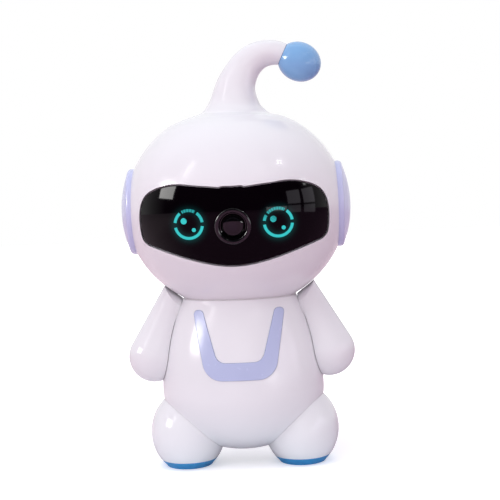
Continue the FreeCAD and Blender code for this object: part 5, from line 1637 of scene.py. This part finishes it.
# Lamps: name, direction towards the lamp, distance, width, height, power, colour, and what sees it.
LAMPS = [
    ("top_softbox", (-0.20, -0.30, 1.0), 1.5, 1.3, 1.3, 4.9, (0.98, 0.99, 1.0), "matt"),
    ("left_softbox", (-0.66, -0.68, 0.46), 1.3, 0.6, 0.8, 3.2, (1.0, 1.0, 1.0), "matt"),
    ("front_fill", (0.03, -1.0, 0.36), 1.6, 0.9, 0.5, 4.9, (1.0, 1.0, 0.99), "matt"),
    ("back_fill", (-0.10, 1.0, 0.35), 1.6, 1.2, 0.8, 3.2, (0.98, 0.99, 1.0), "matt"),
    ("key_lamp", (0.635, -0.296, 0.714), 1.2, 0.06, 0.05, 0.55, (1.0, 1.0, 1.0), "all"),
    ("belly_window", (0.42, -0.60, 0.68), 1.4, 0.30, 0.20, 0.3, (1.0, 1.0, 1.0), "gloss"),
    ("tall_window", (-0.90, -0.25, 0.33), 1.3, 0.40, 0.34, 9.0, (1.0, 0.99, 0.97), "gloss"),
    ("arm_window", (-0.66, -0.40, 0.64), 1.3, 0.06, 0.50, 0.9, (1.0, 1.0, 1.0), "gloss"),
    ("right_pane_a", (0.86, -0.44, 0.17), 1.3, 0.34, 0.30, 0.8, (0.95, 0.90, 1.0), "gloss"),
    ("right_pane_b", (0.97, -0.14, 0.17), 1.3, 0.34, 0.30, 0.8, (0.95, 0.90, 1.0), "gloss"),
    ("right_pane_c", (0.86, -0.44, -0.07), 1.3, 0.34, 0.26, 0.5, (0.95, 0.90, 1.0), "gloss"),
    ("right_pane_d", (0.97, -0.14, -0.07), 1.3, 0.34, 0.26, 0.5, (0.95, 0.90, 1.0), "gloss"),
    ("low_right_card", (0.70, -0.75, -0.02), 1.3, 0.5, 0.10, 0.8, (1.0, 1.0, 1.0), "gloss"),
    ("rim_lamp", (0.917, -0.153, 0.37), 1.2, 0.07, 0.10, 0.2, (1.0, 1.0, 1.0), "gloss"),
]
LAMP_TARGET = Vector((0.0, 0.0, 0.12))


def make_lamp(name, towards, distance, width, height, power, colour, seen_by):
    data = bpy.data.lights.new(name, "AREA")
    data.shape = "RECTANGLE"
    data.size = width
    data.size_y = height
    data.energy = power
    data.color = colour
    lamp = bpy.data.objects.new(name, data)
    bpy.context.scene.collection.objects.link(lamp)
    towards = Vector(towards).normalized()
    turn = (-towards).to_track_quat("-Z", "Y").to_matrix().to_4x4()
    lamp.matrix_world = Matrix.Translation(LAMP_TARGET + towards * distance) @ turn
    lamp.visible_glossy = seen_by != "matt"
    lamp.visible_diffuse = seen_by != "gloss"


class ROBOT_OT_inner_parts(bpy.types.Operator):
    """Finish the parts that stay as the frame has them"""

    bl_idname = "robot.inner_parts"
    bl_label = "Inner parts"

    def execute(self, context):
        for node in frame["nodes"]:
            for slot in bpy.data.objects[node].material_slots:
                key = slot.material.name.split(".")[0]
                if key == "eye_teal":
                    key = "left_eye"
                if key in FINISHES:
                    slot.material = finish_of(key)
        return {"FINISHED"}


class ROBOT_PT_panel(bpy.types.Panel):
    """The robot's pieces and settings"""

    bl_idname = "ROBOT_PT_panel"
    bl_label = "Companion Robot"
    bl_space_type = "VIEW_3D"
    bl_region_type = "UI"
    bl_category = "Robot"

    def draw(self, context):
        for operator in OPERATORS:
            self.layout.operator(operator.bl_idname)
        for settings in (context.scene.robot_sizes, context.scene.robot_colours, context.scene.robot_stage):
            for name in settings.bl_rna.properties.keys():
                if name not in ("name", "rna_type"):
                    self.layout.prop(settings, name)


OPERATORS = (
    ROBOT_OT_stage,
    ROBOT_OT_inner_parts,
    ROBOT_OT_head_shells,
    ROBOT_OT_visor,
    ROBOT_OT_eyes,
    ROBOT_OT_ears,
    ROBOT_OT_antenna_tip,
    ROBOT_OT_torso_shells,
    ROBOT_OT_belly_band,
    ROBOT_OT_neck_washer,
    ROBOT_OT_arms,
    ROBOT_OT_soles,
    ROBOT_OT_buttons,
    ROBOT_OT_power_knob,
)
CLASSES = (SizeSettings, StageSettings, ColourSettings) + OPERATORS + (ROBOT_PT_panel,)


def register():
    for cls in CLASSES:
        bpy.utils.register_class(cls)
    bpy.types.Scene.robot_sizes = PointerProperty(type=SizeSettings)
    bpy.types.Scene.robot_stage = PointerProperty(type=StageSettings)
    bpy.types.Scene.robot_colours = PointerProperty(type=ColourSettings)


def unregister():
    del bpy.types.Scene.robot_sizes
    del bpy.types.Scene.robot_stage
    del bpy.types.Scene.robot_colours
    for cls in reversed(CLASSES):
        bpy.utils.unregister_class(cls)


def main():
    register()
    scene = bpy.context.scene
    scene.view_settings.view_transform = "Standard"
    for name in ("Cube", "Light", "Camera"):
        if name in bpy.data.objects:
            bpy.data.objects.remove(bpy.data.objects[name])
    bpy.ops.robot.stage()
    bpy.ops.robot.inner_parts()
    bpy.ops.robot.head_shells()
    bpy.ops.robot.visor()
    bpy.ops.robot.eyes()
    bpy.ops.robot.ears()
    bpy.ops.robot.antenna_tip()
    bpy.ops.robot.torso_shells()
    bpy.ops.robot.belly_band()
    bpy.ops.robot.neck_washer()
    bpy.ops.robot.arms()
    bpy.ops.robot.soles()
    bpy.ops.robot.buttons()
    bpy.ops.robot.power_knob()


if __name__ == "__main__":
    main()
